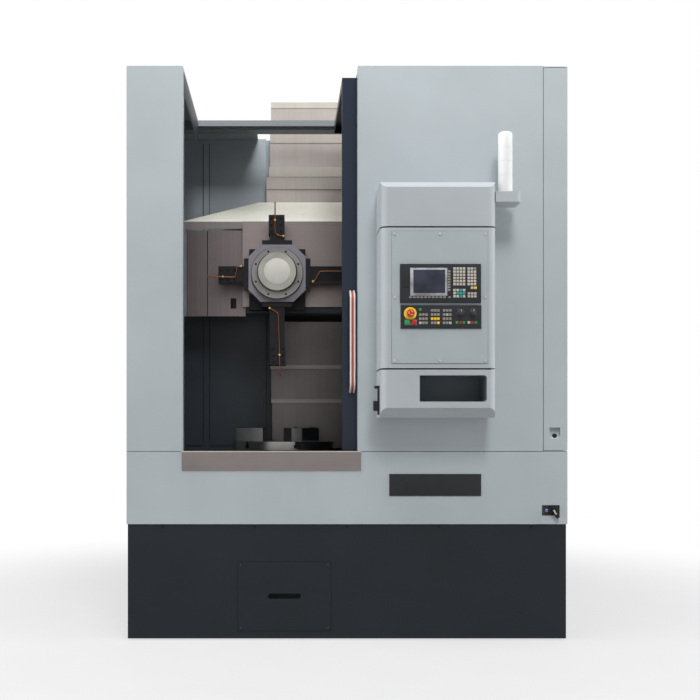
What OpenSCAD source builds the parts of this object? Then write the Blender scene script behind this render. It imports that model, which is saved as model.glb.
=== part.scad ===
// Vertical lathe with a sliding L-shaped door, a turret on a cross slide and a three-jaw chuck.
// The origin is on the floor under the middle of the machine: X to the right, Y to the back, Z up.
// Lengths named with _y count from the front face of the enclosure towards the back.

/* [Enclosure] */
// Width over the side panels
enclosure_w = 2380; // [2360:10:2460]
// Depth from the front face to the rear panel
enclosure_d = 2150; // [2130:10:2300]
// Height of the roof
enclosure_h = 3100; // [3090:5:3130]
// Thickness of the folded sheet
sheet = 3; // [2:0.5:4]
// Height of the dark skirt around the base
skirt_h = 626; // [620:2:650]
// Height of the sill under the door
sill_z = 1020; // [1000:5:1030]
// Width of the front panel to the left of the door opening
left_panel_w = 304; // [290:2:320]
// How far the closed door reaches past the opening
door_lap = 55; // [45:1:75]
// Room beside the open door
door_room = 80; // [70:2:100]
// Width of the side door's strip on the front
side_strip_w = 132; // [120:2:150]
// Depth of the side door
side_door_d = 1200; // [1150:10:1240]
// Depth of the roof in front of the cross rail
roof_d = 940; // [920:5:960]
// Depth of the roof's cross rail
roof_rail_d = 95; // [80:5:120]
// Height of the roof's cross rail
roof_rail_h = 60; // [56:1:80]
// Height of the lip below the left roof strip
roof_lip_h = 145; // [100:5:180]
// Height of the stainless sill's front face
sill_face_h = 106; // [90:2:120]
// Width of the access cover in the skirt
access_w = 500; // [460:10:540]
// Height of the access cover in the skirt
access_h = 370; // [340:10:400]

/* [Base and column] */
// Distance of the cast base inside the side panels
base_inset = 150; // [130:5:170]
// Distance of the cast base and the column inside the rear panel
rear_room = 100; // [90:5:140]
// Distance of the cast base behind the front face
base_y = 160; // [140:5:180]
// Height of the top of the cast base
base_top = 600; // [590:2:610]
// Height of the levelling feet
foot_h = 60; // [50:5:70]
// Centre of the column across the machine
column_x = -50; // [-60:5:-40]
// Width of the column
column_w = 700; // [660:10:720]
// Distance of the column's face behind the front face
column_y = 1380; // [1380:2:1400]
// Height of the top of the column
column_top = 2950; // [2945:5:2980]
// Distance between the column's two rails
rail_pitch = 440; // [400:10:480]
// Width of a rail
rail_w = 40; // [34:2:46]
// Height of a rail above its seat
rail_t = 35; // [30:1:38]

/* [Spindle and chuck] */
// Spindle axis across the machine
spindle_x = -345; // [-355:5:-335]
// Spindle axis behind the front face
spindle_y = 900; // [890:5:910]
// Spindle diameter
spindle_d = 220; // [180:5:260]
// Diameter of the spindle's bore
spindle_bore = 80; // [60:2:100]
// Diameter of the housing inside the base
housing_d = 400; // [380:5:420]
// Chuck diameter
chuck_d = 630; // [600:5:650]
// Chuck height
chuck_h = 150; // [130:5:160]
// Height of the underside of the chuck
chuck_z = 912; // [905:1:920]
// Diameter of the chuck's bore
chuck_bore = 120; // [100:5:140]
// Width of a jaw
jaw_w = 66; // [60:2:80]
// Height of a jaw above the chuck
jaw_h = 83; // [70:1:90]
// Inner end of a jaw from the spindle axis
jaw_in = 125; // [120:5:140]
// Outer end of a jaw from the spindle axis
jaw_out = 300; // [280:2:300]
// Direction of the first jaw
jaw_turn = -74; // [-90:1:-60]
// Diameter of the spindle's pulley
pulley_d = 340; // [300:5:360]
// Diameter of the motor's pulley
motor_pulley_d = 220; // [180:5:240]
// Motor axis across the machine
motor_x = 700; // [680:5:720]

/* [Saddle and cross slide] */
// Height of the turret axis
turret_z = 2110; // [2100:5:2120]
// Turret axis across the machine
turret_x = -383; // [-390:1:-376]
// Room between the left side panel and the saddle
saddle_room = 190; // [180:5:200]
// Room between the saddle and the partition
saddle_end_room = 160; // [150:5:170]
// Height of the saddle
saddle_h = 540; // [530:5:545]
// Height of the saddle's underside below the turret axis
saddle_drop = 210; // [205:1:215]
// Distance of the saddle's face behind the front face
saddle_y = 1140; // [1138:1:1144]
// Depth of the saddle
saddle_d = 194; // [180:1:196]
// Left edge of the slide plate
slide_x = -608; // [-615:1:-600]
// Width of the slide plate
slide_w = 668; // [660:2:680]
// Height of the slide plate
slide_h = 554; // [545:1:556]
// Thickness of the slide plate
slide_t = 40; // [30:1:45]
// Height of the rear edge of the hood above its front edge
hood_rise = 170; // [150:5:180]
// Length of the diagonal cut at the hood's left end
hood_cut = 495; // [450:5:520]
// Height of the cross covers
cross_cover_h = 559; // [550:1:560]

/* [Turret] */
// Size of the turret head across its flats
head_w = 356; // [340:2:370]
// Length of the corner cuts of the turret head
head_cut = 75; // [65:1:85]
// Depth of the turret head
head_d = 159; // [150:1:165]
// Diameter of the ring on the head
hub_ring_d = 324; // [300:2:330]
// Diameter of the disc on the head
hub_disc_d = 246; // [230:2:260]
// Depth of the disc in front of the head
hub_d = 74; // [60:1:80]
// Diameter of the pale disc in its middle
hub_mark_d = 162; // [140:2:180]
// Depth of the turret housing
housing_t = 80; // [75:1:90]
// Length of a short tool holder
holder_short = 190; // [170:5:210]
// Length of a long tool holder
holder_long = 393; // [370:1:400]
// Width of a tool holder
holder_w = 94; // [86:2:100]
// Width of a tool holder's flange
flange_w = 188; // [170:2:200]
// Thickness of a tool holder's flange
flange_t = 30; // [25:1:36]
// Diameter of a coolant pipe
pipe_d = 8; // [6:1:10]

/* [Way covers] */
// Half width of the innermost upper cover
cover_half = 378; // [374:1:382]
// Step in size from one cover to the next
cover_step = 6; // [5.5:0.5:6.5]
// Extra size of the cover that stands on the saddle
cover_flare = 12; // [10:1:14]
// Height of the top of the fixed upper cover
cover_top = 3342; // [3335:1:3350]

/* [Door] */
// Distance of the door behind the front face
door_y = 70; // [66:1:74]
// Thickness of the door
door_t = 38; // [34:1:40]
// Width of the open door that stays in view
door_show = 81; // [76:1:82]
// Thickness of the door's roof
door_roof_t = 44; // [40:1:44]
// Width of the door's window
window_w = 500; // [460:10:540]
// Height of the door's window
window_h = 900; // [800:10:1000]
// Length of the door handle
handle_h = 563; // [540:1:580]
// Width of the door handle
handle_w = 31; // [26:1:34]

/* [Control] */
// Left side of the control box
control_x = 160; // [150:2:170]
// Width of the control box
control_w = 600; // [580:5:620]
// Depth of the control box
control_d = 220; // [200:5:230]
// Height of the underside of the control box
control_z = 1199; // [1190:1:1210]
// Height of the tray
tray_h = 248; // [240:1:256]
// Height of the middle part
console_h = 727; // [720:1:734]
// Height of the cap
cap_h = 234; // [220:1:250]
// Seal between two parts of the control box
seal_h = 8; // [6:1:10]
// Radius of the upright corners
control_r = 40; // [30:1:50]
// Width of the operator plate
plate_w = 496; // [480:2:510]
// Height of the operator plate
plate_h = 683; // [670:1:690]
// Width of the display unit and of the key panel below it
unit_w = 418; // [410:2:430]
// Height of the display unit
unit_h = 202; // [196:1:208]
// Height of the key panel
panel_h = 121; // [118:1:126]
// Diameter of the emergency stop's head
estop_d = 40; // [34:1:44]
// Width of the square start and stop buttons
button_w = 24; // [18:1:26]
// Diameter of the override knobs
knob_d = 34; // [28:1:40]
// Diameter of the signal tower
tower_d = 75; // [60:1:80]
// Height of the signal tower
tower_h = 325; // [280:5:340]

/* [Hidden] */
$fn = 64;
// Clearances: flat slides, running shafts, push buttons and nested covers
slide_gap = 0.3;
run_gap = 0.05;
button_gap = 0.3;
cover_gap = 0.5;
over = 1;

// Colours
paint = [0.67, 0.70, 0.71];
dark = [0.16, 0.18, 0.20];
navy = [0.15, 0.18, 0.25];
iron = [0.45, 0.47, 0.49];
steel = [0.72, 0.70, 0.69];
bright = [0.85, 0.85, 0.84];
black = [0.08, 0.08, 0.09];
slate = [0.24, 0.28, 0.31];
copper = [0.72, 0.43, 0.27];

// The furthest forward is the head of the emergency stop
plate_t = 4;
panel_t = 6;
estop_reach = 32;
front_reach = control_d + plate_t + panel_t + estop_reach;
front_y = -(enclosure_d - front_reach) / 2;

// Enclosure
half_w = enclosure_w / 2;
open_x0 = -half_w + left_panel_w;
strip_x = half_w - side_strip_w;
// The open door stands beside the opening, so both share the width between the left panel and the strip
opening_w = (strip_x - open_x0 - door_room - door_lap + door_show) / 2;
door_w = opening_w + door_lap;
open_x1 = open_x0 + opening_w;
door_seam = 4;
skirt_in = 6;
floor_gap = 8;
flange = 40;
panel_return = 62;
sill_over = 17;
sill_d = 170;
sill_back = 120;
roof_edge = 90;
access_x = -338;
access_z = 237;
access_lap = 28;
slot_w = 178;
slot_h = 28;
partition_x = 460;
guard_y = column_y - rail_t;
guard_top = enclosure_h;
guard_roof_end = -516;
guard_gap = column_x - cover_half - cover_flare - 3 * cover_step - sheet;
guard_fold = [column_y - sheet, column_y];
batten_w = 42;
batten_t = 6;
pan_z = 860;
pan_t = 6;
pan_front = 30;
vent_w = 300;
vent_h = 10;
vent_pitch = 34;
vents = 9;

// Side door pivot
pivot_x = half_w - 10;
pivot_y = side_door_d - 5;
pivot_r = 5;
pivot_run = 7;
lock_x = strip_x + 64;
lock_z = sill_z + 97;
lock_w = 57;
lock_h = 61;
lock_deep = 18;
lock_r = 12;
lock_drop = 14;
barrel_z = lock_z - lock_drop;

// Main switch
switch_x = strip_x + 42;
switch_z = skirt_h + 74.5;
switch_w = 96;
switch_h = 57;
switch_d = 40;
switch_turn_x = switch_x + 11;
switch_shaft_r = 8;
switch_disc_r = 24;
switch_lever = 46;
switch_floor = 10;

// Spindle drive
pulley_z = 90;
pulley_t = 50;
pulley_hub = 60;
belt_t = 8;
belt_gap = 0.5;
belt_in = 2;
channel_half = pulley_d / 2 + 45;
channel_top = 190;
housing_flange_r = 300;
housing_flange_t = 40;
housing_neck_r = 240;
housing_top = chuck_z - 22;
spindle_flange_r = 190;
spindle_flange_t = 12;
motor_w = 340;
motor_h = 550;
motor_flange = 400;
motor_flange_t = 20;
motor_shaft_r = 30;
motor_bite = 40;
servo_w = 180;
servo_h = 300;
chuck_top = chuck_z + chuck_h;
jaw_slot_w = 30;
jaw_tee_w = 46;
jaw_slot_h = 20;
jaw_slot_in = jaw_in - 25;
jaw_tee_back = 60;

// Base, column and saddle
base_w = enclosure_w - 2 * base_inset;
base_d = enclosure_d - rear_room - base_y;
column_d = enclosure_d - rear_room - column_y;
rail_front = column_y - rail_t;
rail_z0 = 1030;
rail_z1 = column_top - 50;
saddle_z = turret_z - saddle_drop;
saddle_top = saddle_z + saddle_h;
saddle_back = saddle_y + saddle_d;
saddle_x = -half_w + saddle_room;
saddle_end = partition_x - saddle_end_room;
x_rail_w = 36;
x_rail_t = 28;
x_rail_low = saddle_z + 80;
x_rail_high = saddle_z + 460;
x_rail_inset = 40;
shoe_wall = 25;
shoe_h = 140;
slide_front = saddle_y - slide_t - slide_t;
slide_back = slide_front + slide_t;
slide_drop = 181;
slide_z = turret_z - slide_drop;
slide_end = slide_x + slide_w;
shoe_inset = 48;

// Cross covers: the outer ones ride on the slide, the middle ones go half as far
cross_drop = 237;
cross_z = turret_z - cross_drop;
cross_lap = 18;
cross_outer_w = 248;
cross_mid_y = slide_back + sheet + cover_gap;
cross_end_y = cross_mid_y + sheet + cover_gap;
cross_mid_left = [saddle_x + 30, saddle_x + 260];
cross_mid_right = [saddle_end - 180, saddle_end + 100];
cross_end_left = [saddle_x, saddle_x + 100];
cross_end_right = [saddle_end - 70, saddle_end];

// Hood
hood_y = slide_back + 1;
hood_z = saddle_top + 50;
hood_lip = 47;
hood_back = column_y - 66 - cover_flare - cover_step;

// Way covers: y of the face and half width of the k-th cover counted from the innermost
cover_room = 4;
cover_out = 54;
lower_in = 8;
wiper_h = 14;
upper1_lap = 10;
upper2_down = 170;
upper2_up = 175;
upper3_low = 200;
upper3_high = 462;
upper4_high = 388;
lower1_low = 357;
lower2_low = 587;
lower2_high = 202;
lower3_high = 432;
lower3_lap = 10;
cover_back = column_y - cover_room;
function upper_y(k) = column_y - cover_out - k * cover_step;
function upper_half(k) = cover_half + k * cover_step;
function lower_half(k) = cover_half - lower_in + k * cover_step;
upper1_z0 = column_top - upper1_lap;
upper2_z = [column_top - upper2_down, column_top + upper2_up];
upper3_z = [saddle_top + upper3_low, saddle_top + upper3_high];
upper4_z = [saddle_top, saddle_top + upper4_high];
lower1_z = [saddle_z - lower1_low, saddle_z];
lower2_z = [saddle_z - lower2_low, saddle_z - lower2_high];
lower3_z = [sill_z - lower3_lap, saddle_z - lower3_high];

// Turret
turret_y = slide_front - housing_t - head_d - over;
head_back = turret_y + head_d;
turret_shaft_r = 60;
housing_half = 180;
housing_low = 210;
housing_high = 179;
hub_ring_t = 14;
holder_inset = 10;
holder_front = turret_y + 25;
holder_back = head_back - 25;
clamp_h = 120;
clamp_lap = 6;
pipe_r = pipe_d / 2;
pipe_y = holder_front - pipe_r;

// Door
door_x = open_x1 - door_show;
door_end = door_x + door_w;
door_top = enclosure_h - 40;
door_roof_z = door_top - door_roof_t;
door_back = roof_d - 2;
tongue_d = 22;
tongue_h = 10;
tongue_z = door_top - 14;
window_x = door_x + 250;
window_z = sill_z + 430;
window_seat = 10;
window_t = 10;
handle_x = open_x1 - 27;
handle_z = sill_z + 315;
handle_out = 62;
handle_t = 22;
handle_bend = 50;
handle_foot = 28;

// Control box
wall = 3;
console_z = control_z + tray_h + seal_h;
cap_z = console_z + console_h + seal_h;
control_end = control_x + control_w;
seal_in = 15;
tray_cut = 50;
cap_cut = 31;
pocket_x = [control_x + 202, control_end - 50];
pocket_z = [control_z + 82, control_z + 219];
pocket_d = 195;
pocket_r = 14;
plate_x = control_x + 58;
plate_z = console_z + 25;
plate_lap = 12;
plate_y = -control_d - plate_t;
unit_x = plate_x + 41;
unit_z = plate_z + 310;
unit_t = 12;
panel_x = plate_x + 44;
panel_z = plate_z + 178;
panel_y = plate_y - panel_t;
screen_x = [unit_x + 68, unit_x + 232];
screen_z = [unit_z + 51, unit_z + 171];
screen_t = 2;
key = 11;
key_t = 1.5;
key_pitch = 15.5;
estop_x = panel_x + 50;
estop_z = panel_z + 78;
estop_ring_d = 65;
estop_ring_t = 3;
estop_stem_r = 9;
estop_head_t = 20;
button_x = [panel_x + 36, panel_x + 68];
button_z = panel_z + 32;
button_out = 10;
stem_in = 8;
knob_x = [panel_x + 309, panel_x + 373];
knob_z = panel_z + 84;
knob_t = 22;
knob_shaft_r = 6;
bracket_w = 134;
bracket_d = 140;
bracket_h = 54;
bracket_r = 25;
bracket_y = -200;
bracket_up = 131;
bracket_z = cap_z + bracket_up;
tower_out = 65;
tower_x = control_end + tower_out;
tower_y = bracket_y + bracket_d / 2;
hook_y = -165;
hook_d = 50;
hook_z = control_z + 35;

// Places what is drawn from the enclosure's front face
module from_front() {
  translate([0, front_y, 0]) children();
}

// Block between pairs of limits along each axis
module block(x, y, z) {
  translate([x[0], y[0], z[0]]) cube([x[1] - x[0], y[1] - y[0], z[1] - z[0]]);
}

// Upright round bar at a place in plan
module post(x, y, r, z) {
  translate([x, y, z[0]]) cylinder(r = r, h = z[1] - z[0]);
}

// Round bar along the depth at a place on the front
module stub(x, z, r, y) {
  translate([x, y[0], z]) rotate([-90, 0, 0]) cylinder(r = r, h = y[1] - y[0]);
}

// Side profile in depth and height, drawn out along the width
module across(x, points) {
  translate([x[0], 0, 0]) rotate([90, 0, 90]) linear_extrude(height = x[1] - x[0]) polygon(points);
}

module base_casting() {
  color(iron) from_front() difference() {
    block([-base_w / 2, base_w / 2], [base_y, base_y + base_d], [foot_h, base_top]);
    post(spindle_x, spindle_y, housing_d / 2 + slide_gap, [foot_h - over, base_top + over]);
    block([spindle_x - channel_half, motor_x + channel_half],
          [spindle_y - channel_half, spindle_y + channel_half], [foot_h - over, channel_top]);
    post(motor_x, spindle_y, 2 * motor_shaft_r, [foot_h, base_top + over]);
  }
}

module levelling_feet() {
  pad_r = 60;
  pad_h = 25;
  stem_r = 20;
  inset = 100;
  color(dark) from_front() {
    for (x = [-base_w / 2 + inset, 0, base_w / 2 - inset]) {
      for (y = [base_y + inset, base_y + base_d - inset]) {
        post(x, y, pad_r, [0, pad_h]);
        post(x, y, stem_r, [pad_h, foot_h]);
      }
    }
  }
}

module base_skirt() {
  side = half_w - skirt_in;
  color(dark) from_front() difference() {
    block([-side, side], [skirt_in, enclosure_d - skirt_in], [floor_gap, skirt_h]);
    block([-side + sheet, side - sheet], [skirt_in + sheet, enclosure_d - skirt_in - sheet],
          [floor_gap - over, skirt_h + over]);
    block([access_x - access_w / 2 + access_lap, access_x + access_w / 2 - access_lap],
          [skirt_in - over, skirt_in + sheet + over],
          [access_z - access_h / 2 + access_lap, access_z + access_h / 2 - access_lap]);
  }
}

module access_cover() {
  slot_r = slot_h / 2;
  slot_end = slot_w / 2 - slot_r;
  cut = [skirt_in - sheet - over, skirt_in + over];
  color(dark) from_front() difference() {
    block([access_x - access_w / 2, access_x + access_w / 2], [skirt_in - sheet, skirt_in],
          [access_z - access_h / 2, access_z + access_h / 2]);
    for (x = [access_x - slot_end, access_x + slot_end]) stub(x, access_z, slot_r, cut);
    block([access_x - slot_end, access_x + slot_end], cut, [access_z - slot_r, access_z + slot_r]);
  }
}

module apron_panel() {
  x = [-half_w + sheet, half_w - sheet];
  top = sill_z - sheet;
  color(paint) from_front() difference() {
    union() {
      block(x, [0, sheet], [skirt_h, top]);
      block(x, [0, flange], [skirt_h, skirt_h + sheet]);
      block(x, [0, flange], [top - sheet, top]);
    }
    block([switch_x - switch_w / 2, switch_x + switch_w / 2], [-over, sheet + over],
          [switch_z - switch_h / 2, switch_z + switch_h / 2]);
  }
}

module sill_plate() {
  x = [open_x0 - sheet - sheet, open_x1 + sill_over];
  color(steel) from_front() {
    block(x, [-sheet, 0], [sill_z - sill_face_h, sill_z]);
    block(x, [-sheet, sill_d], [sill_z - sheet, sill_z]);
    block(x, [sill_d - sheet, sill_d], [sill_z - sill_back, sill_z]);
  }
}

module left_side_panel() {
  edge = [open_x0 - sheet, open_x0];
  color(paint) from_front() {
    block([-half_w, -half_w + sheet], [0, enclosure_d - sheet], [skirt_h, enclosure_h]);
    block([-half_w, open_x0], [0, sheet], [sill_z, enclosure_h]);
    block(edge, [0, panel_return], [sill_z, enclosure_h]);
    block([-half_w, open_x0], [0, roof_d], [enclosure_h - sheet, enclosure_h]);
    block(edge, [0, roof_d], [enclosure_h - roof_lip_h, enclosure_h]);
  }
}

module right_front_panel() {
  z = [sill_z, enclosure_h];
  color(paint) from_front() {
    block([open_x1, strip_x], [0, sheet], z);
    block([open_x1, open_x1 + sheet], [0, panel_return], z);
    block([strip_x - sheet, strip_x], [0, flange], [sill_z, enclosure_h - 2 * sheet]);
    block([open_x1, strip_x], [0, panel_return], [enclosure_h - sheet, enclosure_h]);
  }
}

module right_side_panel() {
  side = [half_w - sheet, half_w];
  rear = [side_door_d + pivot_run, enclosure_d - sheet];
  roof_z = [enclosure_h - 2 * sheet, enclosure_h - sheet];
  low_top = sill_z - sheet;
  color(paint) from_front() difference() {
    union() {
      block(side, rear, [skirt_h, enclosure_h]);
      block(side, [0, enclosure_d - sheet], [skirt_h, low_top]);
      block([half_w - flange, half_w], [pivot_y - flange, rear[0] + flange], [low_top - sheet, low_top]);
      block([open_x1 + sheet, half_w], [sheet, roof_d], roof_z);
      block([half_w - roof_edge, half_w], [sheet, rear[0] + flange], roof_z);
    }
    post(pivot_x, pivot_y, pivot_r + run_gap, [low_top - sheet - over, low_top + over]);
    post(pivot_x, pivot_y, pivot_r + run_gap, [roof_z[0] - over, roof_z[1] + over]);
  }
}

module side_door() {
  z = [sill_z + door_seam, enclosure_h - 2 * sheet - door_seam];
  inner = strip_x + door_seam;
  fold = 22;
  color(paint) from_front() difference() {
    union() {
      block([half_w - sheet, half_w], [0, side_door_d], z);
      block([inner, half_w], [0, sheet], z);
      block([inner, inner + sheet], [0, fold], z);
      block([half_w - sheet - fold, half_w], [0, side_door_d], [z[1] - sheet, z[1]]);
      block([half_w - sheet - fold, half_w], [0, side_door_d], [z[0], z[0] + sheet]);
      post(pivot_x, pivot_y, pivot_r, [z[1], enclosure_h - sheet]);
      post(pivot_x, pivot_y, pivot_r, [sill_z - 2 * sheet, z[0]]);
      block([lock_x - lock_w / 2 - sheet, lock_x + lock_w / 2 + sheet], [0, lock_deep + sheet],
            [lock_z - lock_h / 2 - sheet, lock_z + lock_h / 2 + sheet]);
    }
    across([lock_x - lock_w / 2, lock_x + lock_w / 2],
           [[-over, lock_z - lock_h / 2], [0, lock_z - lock_h / 2], [lock_deep, lock_z],
            [lock_deep, lock_z + lock_h / 2], [-over, lock_z + lock_h / 2]]);
    stub(lock_x, barrel_z, lock_r + run_gap, [-over, lock_deep + sheet + over]);
  }
}

module side_door_lock() {
  cam_t = 4;
  cam_w = 16;
  cam_l = 34;
  back = lock_deep + sheet;
  color(black) from_front() {
    stub(lock_x, barrel_z, lock_r, [door_seam, back + cam_t]);
    block([lock_x - cam_w / 2, lock_x + cam_w / 2], [back + slide_gap, back + cam_t],
          [barrel_z, barrel_z + cam_l]);
  }
}

module rear_panel() {
  color(paint) from_front() difference() {
    block([-half_w + sheet, half_w - sheet], [enclosure_d - sheet, enclosure_d],
          [skirt_h, enclosure_h]);
    for (x = [-half_w / 2, half_w / 2]) {
      for (i = [0 : vents - 1]) {
        block([x - vent_w / 2, x + vent_w / 2], [enclosure_d - sheet - over, enclosure_d + over],
              [sill_z + i * vent_pitch, sill_z + i * vent_pitch + vent_h]);
      }
    }
  }
}

module roof_crossbar() {
  tongue = [tongue_z - slide_gap, tongue_z + tongue_h + slide_gap];
  end = half_w - roof_edge - 2 * sheet;
  color(paint) from_front() difference() {
    block([-half_w + sheet, end], [roof_d, roof_d + roof_rail_d],
          [enclosure_h - roof_rail_h, enclosure_h]);
    block([open_x0, end + over], [roof_d - over, door_back + tongue_d + sheet], tongue);
  }
}

module splash_guard() {
  y = [guard_y, guard_y + sheet];
  foot = pan_z + pan_t;
  right = 2 * column_x - guard_gap;
  batten = [open_x0, open_x0 + batten_w];
  color(slate) from_front() {
    block([-half_w + sheet, guard_gap], y, [foot, guard_top]);
    block([right, partition_x + sheet], y, [foot, guard_top]);
    block([guard_gap, right], y, [foot, sill_z - 30]);
    for (side = [0, 1]) translate([2 * column_x * side, 0, 0]) mirror([side, 0, 0]) {
      block([guard_gap - sheet, guard_gap], [guard_y, column_y], [foot, guard_top]);
      block([guard_gap - sheet, column_x - column_w / 2 - sheet], guard_fold, [foot, guard_top]);
    }
    block([partition_x, partition_x + sheet], [door_y + 2 * door_t, guard_y], [foot, door_roof_z - 16]);
    block([-half_w + sheet, guard_roof_end], [roof_d + roof_rail_d, guard_y],
          [guard_top - sheet, guard_top]);
    block(batten, [guard_y - batten_t, guard_y], [foot, guard_top]);
    block([-half_w + sheet, guard_gap], [guard_y - batten_t, guard_y], [sill_z + 7, sill_z + 26]);
  }
}

module chip_pan() {
  hole_r = housing_neck_r + 12;
  color(slate) from_front() difference() {
    union() {
      block([-half_w + sheet, partition_x], [pan_front, guard_y], [pan_z, pan_z + pan_t]);
      post(spindle_x, spindle_y, hole_r + pan_t, [base_top + housing_flange_t, pan_z]);
    }
    post(spindle_x, spindle_y, hole_r, [base_top, pan_z + pan_t + over]);
  }
}

module column() {
  color(iron) from_front() {
    block([column_x - column_w / 2, column_x + column_w / 2], [column_y, column_y + column_d],
          [base_top, column_top]);
    for (x = [column_x - rail_pitch / 2, column_x + rail_pitch / 2]) {
      block([x - rail_w / 2, x + rail_w / 2], [rail_front, column_y], [rail_z0, rail_z1]);
    }
  }
}

// Folded cover around the column's rails, with its wiper at the top or the foot
module way_cover(half, y, z, wiper_z, wiper_t) {
  x = [column_x - half, column_x + half];
  block(x, [y, y + sheet], z);
  block([x[0], x[0] + sheet], [y, cover_back], z);
  block([x[1] - sheet, x[1]], [y, cover_back], z);
  block(x, [y, y + wiper_t], [wiper_z, wiper_z + wiper_h]);
}

module fixed_way_covers() {
  half = upper_half(0);
  low = lower_half(0);
  bracket = column_w / 2 - sheet;
  color(steel) from_front() {
    way_cover(half, upper_y(0), [upper1_z0, cover_top], cover_top - wiper_h, cover_back - upper_y(0));
    block([column_x - bracket, column_x + bracket], [cover_back - sheet, column_y],
          [upper1_z0, column_top]);
    way_cover(low, upper_y(0), lower3_z, lower3_z[0], cover_back - upper_y(0));
    block([column_x - bracket, column_x + bracket], [cover_back - sheet, column_y],
          [lower3_z[0], lower3_z[0] + wiper_h]);
  }
}

module spindle_housing() {
  color(iron) from_front() difference() {
    union() {
      post(spindle_x, spindle_y, housing_d / 2, [channel_top, base_top]);
      post(spindle_x, spindle_y, housing_flange_r, [base_top, base_top + housing_flange_t]);
      post(spindle_x, spindle_y, housing_neck_r, [base_top, housing_top]);
    }
    post(spindle_x, spindle_y, spindle_d / 2 + run_gap, [channel_top - over, housing_top + over]);
  }
}

module drive_motors() {
  body_z = base_top + motor_flange_t;
  servo_y = column_y + column_d / 2;
  color(black) from_front() {
    difference() {
      union() {
        block([motor_x - motor_flange / 2, motor_x + motor_flange / 2],
              [spindle_y - motor_flange / 2, spindle_y + motor_flange / 2], [base_top, body_z]);
        block([motor_x - motor_w / 2, motor_x + motor_w / 2],
              [spindle_y - motor_w / 2, spindle_y + motor_w / 2], [body_z, body_z + motor_h]);
      }
      post(motor_x, spindle_y, motor_shaft_r + run_gap, [base_top - over, base_top + motor_bite + over]);
    }
    block([column_x - servo_w / 2, column_x + servo_w / 2],
          [servo_y - servo_w / 2, servo_y + servo_w / 2], [column_top, column_top + servo_h]);
  }
}

// Outline around both pulleys, grown by a margin
module belt_outline(margin) {
  hull() {
    translate([spindle_x, spindle_y]) circle(r = pulley_d / 2 + margin, $fn = 128);
    translate([motor_x, spindle_y]) circle(r = motor_pulley_d / 2 + margin, $fn = 128);
  }
}

module drive_belt() {
  color(black) from_front() translate([0, 0, pulley_z + belt_in])
    linear_extrude(height = pulley_t - 2 * belt_in) difference() {
      belt_outline(belt_gap + belt_t);
      belt_outline(belt_gap);
    }
}

module spindle_shaft() {
  color(steel) from_front() difference() {
    union() {
      post(spindle_x, spindle_y, spindle_d / 2, [pulley_z, chuck_z]);
      post(spindle_x, spindle_y, spindle_flange_r, [chuck_z - spindle_flange_t, chuck_z]);
      post(spindle_x, spindle_y, pulley_d / 2, [pulley_z, pulley_z + pulley_t]);
    }
    post(spindle_x, spindle_y, spindle_bore / 2, [pulley_z - over, chuck_z + over]);
  }
}

module motor_pulley() {
  color(iron) from_front() {
    post(motor_x, spindle_y, motor_shaft_r, [pulley_z, base_top + motor_bite]);
    post(motor_x, spindle_y, motor_pulley_d / 2, [pulley_z, pulley_z + pulley_t]);
    post(motor_x, spindle_y, pulley_hub, [pulley_z, pulley_z + pulley_t + 2 * belt_t]);
  }
}

// T-shaped section along a radius, from its mouth at the top downwards
module tee(r0, r1, neck, foot, depth, gap) {
  block([r0, r1], [-neck / 2 + gap, neck / 2 - gap], [-depth - over, over]);
  block([r0, r1], [-foot / 2 + gap, foot / 2 - gap], [-2 * depth + gap, -depth - gap]);
}

module chuck_body() {
  rim = chuck_d / 2;
  groove_w = 2;
  groove_h = 2;
  tee_w = 16;
  tee_foot = 28;
  tee_h = 20;
  color(steel) from_front() translate([spindle_x, spindle_y, 0]) difference() {
    translate([0, 0, chuck_z]) cylinder(d = chuck_d, h = chuck_h, $fn = 96);
    translate([0, 0, chuck_z - over]) cylinder(d = chuck_bore, h = chuck_h + 2 * over);
    for (k = [0 : 2]) rotate([0, 0, jaw_turn + 120 * k]) {
      translate([0, 0, chuck_top]) tee(jaw_slot_in, rim + over, jaw_slot_w, jaw_tee_w, jaw_slot_h, 0);
      rotate([0, 0, 60]) translate([0, 0, chuck_top])
        tee(0.5 * rim, rim + over, tee_w, tee_foot, tee_h, 0);
    }
    for (r = [rim * 0.5, rim * 0.66, rim * 0.82]) {
      translate([0, 0, chuck_top - groove_h]) difference() {
        cylinder(r = r + groove_w, h = groove_h + over);
        translate([0, 0, -over]) cylinder(r = r, h = groove_h + 3 * over);
      }
    }
  }
}

// Stepped jaw with a T-shaped foot in the chuck's slot
module jaw(k) {
  color(bright) from_front() translate([spindle_x, spindle_y, chuck_top])
    rotate([0, 0, jaw_turn + 120 * k]) {
      block([jaw_in, jaw_out], [-jaw_w / 2, jaw_w / 2], [slide_gap, jaw_h]);
      tee(jaw_in, jaw_out - jaw_tee_back, jaw_slot_w, jaw_tee_w, jaw_slot_h, slide_gap);
    }
}

module chuck_jaw_1() {
  jaw(0);
}

module chuck_jaw_2() {
  jaw(1);
}

module chuck_jaw_3() {
  jaw(2);
}

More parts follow.
